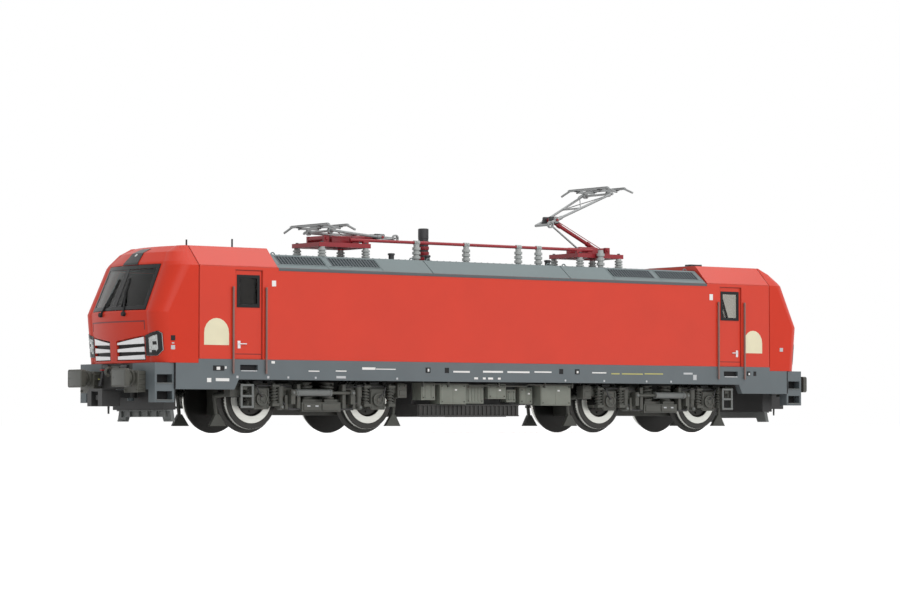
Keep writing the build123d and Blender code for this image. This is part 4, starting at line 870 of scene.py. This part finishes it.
def draw_frame_trim(mesh):
    add_box(mesh, (8.0, 11.35, FRAME_TOP - 0.05), (23.2, 13.05, FRAME_TOP + 0.2), edge=0.08)
    add_box(mesh, (7.9, 13.1, 10.2), (10.6, 13.5, 11.7), edge=0.08)
    add_box(mesh, (22.0, 13.1, 9.9), (23.3, 13.5, 11.7), edge=0.08)
    for x in AXLE_SPRINGS:
        add_bolt(mesh, (x, SPRING_Y, 11.69), UP, 0.45, 0.4)
    x, y = LEVER
    add_rod(mesh, (x, y, 8.8), (x, y, 11.4), 0.92, sides=16)
    add_rod(mesh, (x, 13.1, LEVER_PIN_Z), (x, 14.85, LEVER_PIN_Z), 0.6, sides=14)
    add_box(mesh, (6.2, 13.0, 6.0), (7.2, 14.9, 11.9), edge=0.12)
    add_box(mesh, (9.6, 12.9, 5.8), (10.4, 14.5, 9.2), edge=0.1)
    add_box(mesh, (0.2, 14.6, 5.5), (5.2, 14.95, 7.2), edge=0.1)
    add_box(mesh, (15.2, 14.0, 5.75), (19.3, 14.35, 6.1), edge=0.06)


def draw_pipes(mesh):
    add_pipe(mesh, [(5.4, 14.3, 5.9), (9.2, 14.3, 5.9), (12.6, 14.0, 8.9), (14.9, 13.9, 9.2)], 0.2)
    add_pipe(mesh, [(AXLE, 14.9, 8.7), (18.5, 15.2, 9.8), (19.0, 15.1, 11.2), (19.2, 13.2, 12.1)], 0.17)
    add_pipe(mesh, [(8.0, 13.75, 11.2), (12.4, 14.9, 11.5), (22.4, 13.7, 11.5)], 0.16)


def draw_sand_boxes(mesh):
    add_box(mesh, (23.3, 11.5, 8.7), (26.2, 14.3, 12.2), edge=0.25)
    add_box(mesh, (23.6, 11.8, 12.1), (25.9, 14.0, 12.4), edge=0.1)
    add_rod(mesh, (25.2, 11.8, 9.4), (26.6, 8.7, 9.0), 0.6)
    add_bolt(mesh, (24.0, 14.3, 11.6), ACROSS, 0.25, 0.15)
    add_bolt(mesh, (25.6, 14.3, 11.6), ACROSS, 0.25, 0.15)
    add_box(mesh, (23.8, 14.2, 9.3), (25.7, 14.45, 10.6), edge=0.06)


def draw_damper_eyes(mesh):
    add_rod(mesh, (DAMPER_EYE, 14.4, DAMPER_Z), (DAMPER_EYE, 15.75, DAMPER_Z), 0.7, sides=16)


def draw_dampers(mesh):
    for start, end, radius in ((-2.0, 8.0, 0.82), (-2.4, -2.0, 0.95), (7.2, 7.6, 0.95)):
        add_rod(mesh, (start, DAMPER_Y, DAMPER_Z), (end, DAMPER_Y, DAMPER_Z), radius, sides=18)


def draw_damper_bolts(mesh):
    x, y = LEVER
    add_bolt(mesh, (DAMPER_EYE, 15.75, DAMPER_Z), ACROSS, 0.42, 0.25)
    add_bolt(mesh, (x, 14.85, LEVER_PIN_Z), ACROSS, 0.36, 0.2)
    add_rod(mesh, (x, y, 6.9), (x, y, 8.85), 0.4)


def draw_belly_marks(mesh):
    for x in (1.0, 3.4):
        add_box(mesh, (x, 14.9, 6.4), (x + 0.9, 14.99, 6.75))


def draw_ladders(mesh):
    for x in (20.6, 23.8):
        add_box(mesh, (x, 16.05, 6.0), (x + 0.6, 16.22, 11.8), edge=0.04)
    for z in (6.0, 8.6, 11.2):
        add_box(mesh, (20.6, 15.3, z + 0.05), (24.4, 16.3, z + 0.55), edge=0.06)


def bogie_piece(name, draw, look, four=True):
    """Makes a drawing a piece on each bogie, on both sides, and at both of its ends if asked."""
    made = {}
    for end, sign in ENDS:
        mesh = bmesh.new()
        draw(mesh)
        if four:
            both_ends(mesh)
        both_sides(mesh)
        bmesh.ops.scale(mesh, vec=(sign, 1, 1), verts=mesh.verts)
        bmesh.ops.translate(mesh, vec=(sign * BOGIE, 0, 0), verts=mesh.verts)
        made[end] = piece(f"{name}_{end}", mesh, look, body=f"bogie_{end}")
    return made


bogie_look = slot_finishes["bogie_grey"]
for end, coils in bogie_piece("coil_springs", draw_springs, bogie_look).items():
    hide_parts(f"bogie_springs_{end}")
bogie_piece("axle_covers", draw_axle_covers, bogie_look)
bogie_piece("brake_units", draw_brakes, slot_finishes["die_cast"])
bogie_piece("frame_trim", draw_frame_trim, bogie_look)
bogie_piece("bogie_pipes", draw_pipes, slot_finishes["fitting_black"])
bogie_piece("sand_boxes", draw_sand_boxes, bogie_look)
bogie_piece("damper_eyes", draw_damper_eyes, bogie_look)
bogie_piece("damper_bodies", draw_dampers, step_grey, four=False)
bogie_piece("damper_bolts", draw_damper_bolts, step_grey)
bogie_piece("belly_marks", draw_belly_marks, pale_print, four=False)
bogie_piece("ladder_treads", draw_ladders, step_grey, four=False)


# Wheels: bright treads, hub caps and bolts

TREAD = [(8.1, 7.15), (9.75, 7.15), (9.75, 7.225), (8.1, 7.26)]
HUB_CAP = [(9.2, 0.0), (9.2, 1.3), (10.1, 1.3), (10.25, 1.0), (10.25, 0.0)]
WHEEL_PLACES = (-BOGIE - AXLE, -BOGIE + AXLE, BOGIE - AXLE, BOGIE + AXLE)


def make_wheel_trim():
    for number, x in enumerate(WHEEL_PLACES, start=1):
        mesh = bmesh.new()
        add_turned(mesh, TREAD, (x, 0, AXLE_Z), ACROSS, steps=64, closed=True)
        both_sides(mesh)
        look = slot_finishes["bright_steel"]
        piece(f"wheel_treads_{number}", mesh, look, body=f"wheels_{number}")
        mesh = bmesh.new()
        add_turned(mesh, HUB_CAP, (x, 0, AXLE_Z), ACROSS, steps=32)
        for step in range(8):
            turn = math.pi * step / 4
            spot = (x + 2.9 * math.cos(turn), 9.3, AXLE_Z + 2.9 * math.sin(turn))
            add_bolt(mesh, spot, ACROSS, 0.32, 0.3)
        both_sides(mesh)
        look = slot_finishes["wheel_steel"]
        piece(f"wheel_hubs_{number}", mesh, look, body=f"wheels_{number}")


make_wheel_trim()


# Roof: painted shadow under the roof's edge, louvre slats, bolts, insulator fittings and the line's clamps

def on_slope(share, proud=0.0):
    """A spot on the near slope of the hatches, as a share of the way up, standing proud of it."""
    run, rise = HATCH_EDGE - HATCH_HALF, HATCH_TOP - GUTTER
    length = math.hypot(run, rise)
    y = HATCH_EDGE - run * share + proud * rise / length
    z = GUTTER + rise * share + proud * run / length
    return -y, z


def slope_plate(mesh, x0, x1, low, high, thick):
    """A thin plate on the near slope of the hatches."""
    points = [on_slope(low, -0.05), on_slope(high, -0.05), on_slope(high, thick), on_slope(low, thick)]
    add_slab(mesh, [(x0, y, z) for y, z in points], (x1 - x0, 0, 0))


LOUVRE_PANELS = ((37.6, 52.7), (53.9, 67.8))


def make_roof_slopes():
    mesh = bmesh.new()
    # A dark band along the top of each side wall, under the roof's edge: painted shadow.
    add_box(mesh, (-CAB_START + 0.2, -SIDE - 0.1, 39.0), (CAB_START - 0.2, -SIDE + 0.1, 39.68), edge=0.04)
    both_sides(mesh)
    piece("roof_edge_painted_shadow", mesh, shadow_and_fitting_grey)
    mesh = bmesh.new()
    for start, end in LOUVRE_PANELS:
        count = int((end - start) / 0.9)
        for step in range(count):
            x = start + 0.5 + step * 0.9
            slope_plate(mesh, x, x + 0.4, 0.3, 0.87, 0.04)
    all_corners(mesh)
    piece("louvre_slats", mesh, louvre_grey)
    mesh = bmesh.new()
    for start, end in LOUVRE_PANELS:
        slope_plate(mesh, start - 0.2, end + 0.2, 0.88, 0.94, 0.05)
        slope_plate(mesh, start - 0.2, end + 0.2, 0.23, 0.29, 0.05)
        slope_plate(mesh, start - 0.5, start - 0.2, 0.05, 0.95, 0.06)
    all_corners(mesh)
    piece("louvre_frames", mesh, slot_finishes["roof_grey"])


# start and end along, half width: low covers on the tops of the hatches
ROOF_COVERS = [(52.0, 66.0, 7.0), (0.0, 9.0, 4.0)]
AERIALS = (-84.08, -70.94)
AERIAL_FOOT = [(-0.05, 0.0), (-0.05, 0.7), (0.2, 0.7), (0.4, 0.4), (0.4, 0.0)]
HORN_TRUMPET = [(0, 0.0), (0, 0.34), (1.6, 0.2), (2.2, 0.2), (2.2, 0.0)]


def make_roof_tops():
    mesh = bmesh.new()
    for step in range(34):
        x = 1.0 + step * 2.0
        if abs(x - HATCH_SEAM) > 0.7:
            add_bolt(mesh, (x, HATCH_HALF - 0.7, HATCH_TOP), UP, 0.2, 0.1)
    for step in range(6):
        for x in (HATCH_SEAM - 0.9, HATCH_SEAM + 1.1, CAB_START - 1.0):
            add_bolt(mesh, (x, 1.0 + step * 2.0, HATCH_TOP), UP, 0.2, 0.1)
    all_corners(mesh)
    piece("roof_bolts", mesh, shadow_and_fitting_grey)
    mesh = bmesh.new()
    for start, end, half in ROOF_COVERS:
        add_box(mesh, (start, -half, HATCH_TOP - 0.05), (end, half, HATCH_TOP + 0.3), edge=0.12)
        for x in (start + 0.7, end - 0.7):
            for y in (0.7 - half, 0, half - 0.7):
                add_bolt(mesh, (x, y, HATCH_TOP + 0.3), UP, 0.24, 0.12)
    for x in (HATCH_SEAM + 2.6, CAB_START - 2.6, HATCH_SEAM - 2.6):
        for y in (-11.0, 11.0):
            add_swept(mesh, (x, y, HATCH_TOP), ACROSS, (x - 0.55, y, HATCH_TOP), 0.16, math.pi, 8)
    add_box(mesh, (70.0, -8.0, CAB_ROOF - 0.05), (77.0, 8.0, CAB_ROOF + 0.16), edge=0.08)
    both_ends(mesh)
    piece("roof_covers", mesh, slot_finishes["roof_grey"])
    mesh = bmesh.new()
    for x in AERIALS:
        add_turned(mesh, AERIAL_FOOT, (x, 0, CAB_ROOF), UP)
    for sign in (-1, 1):
        for y in (-8.7, -7.3):
            add_turned(mesh, HORN_TRUMPET, (sign * 74.4, sign * y, CAB_ROOF + 0.36), (-sign, 0, 0))
    piece("aerial_feet", mesh, slot_finishes["fitting_black"])


# place along, place across: the posts that carry the line, the pantographs, and the line's end
LINE_Y = -5.0
LINE_Z = 48.1
LINE_POSTS = [(share * 39.2, LINE_Y) for share in (-0.475, -0.07, 0.365, 0.535)]
PANTOGRAPH_POSTS = [
    (sign_x * x, sign_y * 5.45) for x in (34.7, 48.0) for sign_x in (-1, 1) for sign_y in (-1, 1)
]
END_POST = (40.25, -7.25)
POST_FOOT = [(-0.05, 0.0), (-0.05, 1.3), (0.22, 1.3), (0.32, 1.15), (0.32, 0.0)]
BREAKER = (-12.7, 0.0)
BREAKER_FOOT = [(0.0, 1.25), (0.0, 1.8), (0.4, 1.8), (0.5, 1.6), (0.5, 1.25)]
BREAKER_RIB = [(0, 1.25), (0, 1.34), (0.4, 1.5), (0.9, 1.5), (0.9, 1.25)]
BREAKER_CAP = [(0.0, 0.0), (0.0, 1.36), (2.4, 1.36), (2.6, 1.1), (2.6, 0.0)]
PLUGS = [(-27.19, -6.0), (-14.63, -4.2), (24.43, -4.5)]
PLUG_TOP = 44.6
PLUG_CAP = [(0, 0.0), (0, 0.9), (0.4, 0.9), (0.5, 0.7), (0.5, 0.0)]
PLUG_FOOT = [(0, 0.0), (0, 1.1), (0.25, 1.1), (0.3, 0.9), (0.3, 0.0)]


def make_insulator_trim():
    mesh = bmesh.new()
    for x, y in PANTOGRAPH_POSTS + LINE_POSTS + [END_POST]:
        add_turned(mesh, POST_FOOT, (x, y, HATCH_TOP), UP)
        for step in range(4):
            turn = math.pi * (step + 0.5) / 2
            spot = (x + 1.1 * math.cos(turn), y + 1.1 * math.sin(turn), HATCH_TOP + 0.2)
            add_bolt(mesh, spot, UP, 0.14, 0.16)
    piece("insulator_feet", mesh, shadow_and_fitting_grey)
    mesh = bmesh.new()
    for x, y in LINE_POSTS:
        add_rod(mesh, (x - 0.8, y, LINE_Z), (x + 0.8, y, LINE_Z), 0.58, sides=16)
        add_box(mesh, (x - 0.45, y - 0.75, LINE_Z - 0.45), (x + 0.45, y + 0.75, LINE_Z + 0.45), edge=0.1)
        add_bolt(mesh, (x, y - 0.75, LINE_Z), (0, -1, 0), 0.26, 0.2)
    piece("line_clamps", mesh, slot_finishes["insulator_grey"])
    mesh = bmesh.new()
    x, y = BREAKER
    add_turned(mesh, BREAKER_FOOT, (x, y, HATCH_TOP), UP, closed=True)
    for step in range(4):
        add_turned(mesh, BREAKER_RIB, (x, y, 43.9 + step * 1.35), UP, closed=True)
    add_rod(mesh, (x, y, 49.0), (x - 3.4, LINE_Y, LINE_Z), 0.22)
    piece("breaker_ribs", mesh, slot_finishes["line_red"])
    mesh = bmesh.new()
    add_turned(mesh, BREAKER_CAP, (x, y, 49.55), UP)
    for x, y in PLUGS:
        add_turned(mesh, PLUG_CAP, (x, y, PLUG_TOP), UP)
        add_turned(mesh, PLUG_FOOT, (x, y, HATCH_TOP), UP)
    piece("breaker_cap", mesh, slot_finishes["fitting_black"])


make_roof_slopes()
make_roof_tops()
make_insulator_trim()


# Pantographs, at rest: trim on the base, arms and heads

def joint_place(name):
    return Vector(joints[name]["pos_m"]) / MM


KNEE_BLOCK = Vector((1.5, 0.55, 0.95))


def make_pantograph_trim(end, sign):
    pivot = joint_place(f"pantograph_{end}_raise")
    knee = joint_place(f"pantograph_{end}_knee")
    head = joint_place(f"pantograph_{end}_head_level")

    def across(spot, y):
        return Vector((spot.x, y, spot.z))

    mesh = bmesh.new()
    for side in (-1, 1):
        low, high = sorted((sign * 36.7, sign * 43.2))
        add_box(mesh, (low, side * 2.15 - 0.75, 46.3), (high, side * 2.15 + 0.75, 49.1), edge=0.35)
        add_bolt(mesh, (pivot.x, side * 3.9, pivot.z), (0, side, 0), 0.5, 0.3)
    add_box(mesh, (sign * 40.0 - 0.6, -5.0, 46.2), (sign * 40.0 + 0.6, 5.0, 46.9), edge=0.1)
    add_rod(mesh, (sign * 34.2, 0, 46.7), (sign * 43.9, 0, 46.7), 0.6, sides=16)
    piece(f"pantograph_drive_{end}", mesh, slot_finishes["line_red"])
    mesh = bmesh.new()
    for side in (-1, 1):
        low = Vector((pivot.x + sign * 0.9, side * 2.6, 46.75))
        add_coil(mesh, low, low + Vector((sign * 2.2, 0, 0)), 0.42, 0.1, 6)
        for x in (34.7, 48.0):
            add_bolt(mesh, (sign * x, side * 5.45, 47.2), UP, 0.42, 0.3)
    piece(f"pantograph_springs_{end}", mesh, slot_finishes["fitting_black"])

    mesh = bmesh.new()
    arm = knee - pivot
    for share in (0.2, 0.8):
        spot = pivot + arm * share
        add_rod(mesh, spot, spot + arm.normalized() * 0.9, 0.66, sides=16)
    for side in (-1, 1):
        low = across(pivot, side * 1.0) + Vector((0, 0, 0.6))
        high = across(knee, side * 1.0) + Vector((0, 0, 0.45))
        add_rod(mesh, low, high, 0.1)
        add_bolt(mesh, across(knee, side * 2.65), (0, side, 0), 0.42, 0.3)
    piece(f"lower_arm_trim_{end}", mesh, slot_finishes["line_red"], body=f"lower_arm_{end}")
    mesh = bmesh.new()
    for side in (-1, 1):
        middle = across(knee, side * 1.25)
        add_box(mesh, middle - KNEE_BLOCK, middle + KNEE_BLOCK, edge=0.3)
    look = slot_finishes["fitting_black"]
    piece(f"knee_blocks_{end}", mesh, look, body=f"lower_arm_{end}")

    mesh = bmesh.new()
    arm = head - knee
    for side in (-1, 1):
        start = across(knee + arm * 0.45, side * 3.7)
        stop = across(knee + arm * 0.9, -side * 5.2)
        add_rod(mesh, start, stop, 0.13, sides=8)
        start = across(knee + arm * 0.02, side * 2.3)
        add_rod(mesh, start, across(knee + arm * 0.1, side * 2.65), 0.5, sides=14)
        add_bolt(mesh, across(head, side * 6.3), (0, side, 0), 0.42, 0.25)
    piece(f"upper_arm_trim_{end}", mesh, slot_finishes["arm_grey"], body=f"upper_arm_{end}")

    mesh = bmesh.new()
    for x in (head.x - 2.95, head.x + 2.95):
        add_box(mesh, (x - 0.3, -7.9, head.z + 1.55), (x + 0.3, 7.9, head.z + 1.74), edge=0.06)
        for y in (-4.7, 4.7):
            add_box(mesh, (x - 0.5, y - 0.6, head.z + 0.95), (x + 0.5, y + 0.6, head.z + 1.3), edge=0.08)
            add_bolt(mesh, (x, y, head.z + 0.65), (0, 0, -1), 0.24, 0.15)
    piece(f"contact_strips_{end}", mesh, graphite, body=f"contact_head_{end}")


for end, sign in ENDS:
    make_pantograph_trim(end, sign)


# Stage, light and camera

def seen_rays(tree):
    """One for rays that show the background: seen straight, in a reflection or through glass."""
    path = tree.nodes.new("ShaderNodeLightPath")
    first = tree.nodes.new("ShaderNodeMath")
    first.operation = "MAXIMUM"
    second = tree.nodes.new("ShaderNodeMath")
    second.operation = "MAXIMUM"
    tree.links.new(path.outputs["Is Camera Ray"], first.inputs[0])
    tree.links.new(path.outputs["Is Glossy Ray"], first.inputs[1])
    tree.links.new(first.outputs["Value"], second.inputs[0])
    tree.links.new(path.outputs["Is Transmission Ray"], second.inputs[1])
    return second


def make_stage():
    mesh = bmesh.new()
    bmesh.ops.create_grid(mesh, x_segments=1, y_segments=1, size=6.0)
    data = bpy.data.meshes.new("floor")
    mesh.to_mesh(data)
    mesh.free()
    floor = bpy.data.objects.new("floor", data)
    bpy.context.scene.collection.objects.link(floor)
    made = bpy.data.materials.new("pale_floor")
    made.use_nodes = True
    tree = made.node_tree
    shader = tree.nodes["Principled BSDF"]
    shader.inputs["Base Color"].default_value = (0.8, 0.8, 0.8, 1)
    shader.inputs["Roughness"].default_value = 0.9
    shader.inputs["Specular IOR Level"].default_value = 0.0
    shader.inputs["Emission Color"].default_value = (1, 1, 1, 1)
    seen = seen_rays(tree)
    lift = tree.nodes.new("ShaderNodeMath")
    lift.operation = "MULTIPLY"
    lift.inputs[1].default_value = FLOOR_GLOW
    tree.links.new(seen.outputs["Value"], lift.inputs[0])
    tree.links.new(lift.outputs["Value"], shader.inputs["Emission Strength"])
    data.materials.append(made)


WORLD_LIGHT = 0.55
FLOOR_GLOW = 0.56
LAMP_AIM = Vector((0, 0, 0.03))
# name, place in metres, width and height in metres, power in watts
LAMPS = [
    ("overhead_softbox", (0.35, -0.15, 1.3), 1.6, 1.2, 8.0),
    ("front_softbox", (-0.15, -1.45, 0.8), 1.2, 0.8, 9.4),
]


def make_light():
    world = bpy.data.worlds.new("studio")
    bpy.context.scene.world = world
    world.use_nodes = True
    tree = world.node_tree
    light = tree.nodes["Background"]
    light.inputs["Color"].default_value = (1, 1, 1, 1)
    light.inputs["Strength"].default_value = WORLD_LIGHT
    white = tree.nodes.new("ShaderNodeBackground")
    white.inputs["Color"].default_value = (1, 1, 1, 1)
    mix = tree.nodes.new("ShaderNodeMixShader")
    tree.links.new(seen_rays(tree).outputs["Value"], mix.inputs["Fac"])
    tree.links.new(light.outputs["Background"], mix.inputs[1])
    tree.links.new(white.outputs["Background"], mix.inputs[2])
    tree.links.new(mix.outputs["Shader"], tree.nodes["World Output"].inputs["Surface"])
    for name, place, wide, tall, power in LAMPS:
        data = bpy.data.lights.new(name, "AREA")
        data.shape = "RECTANGLE"
        data.size = wide
        data.size_y = tall
        data.energy = power
        lamp = bpy.data.objects.new(name, data)
        lamp.location = place
        lamp.rotation_euler = (LAMP_AIM - Vector(place)).to_track_quat("-Z", "Y").to_euler()
        bpy.context.scene.collection.objects.link(lamp)


def make_camera():
    data = bpy.data.cameras.new("camera")
    data.sensor_width = 36.0
    data.lens = CAMERA_LENS
    data.clip_start = 0.01
    data.clip_end = 50.0
    camera = bpy.data.objects.new("camera", data)
    camera.location = Vector(CAMERA_PLACE) * MM
    camera.rotation_euler = Vector(CAMERA_AIM).to_track_quat("-Z", "Y").to_euler()
    bpy.context.scene.collection.objects.link(camera)
    bpy.context.scene.camera = camera


make_stage()
make_light()
make_camera()
bpy.context.scene.view_settings.view_transform = "Standard"
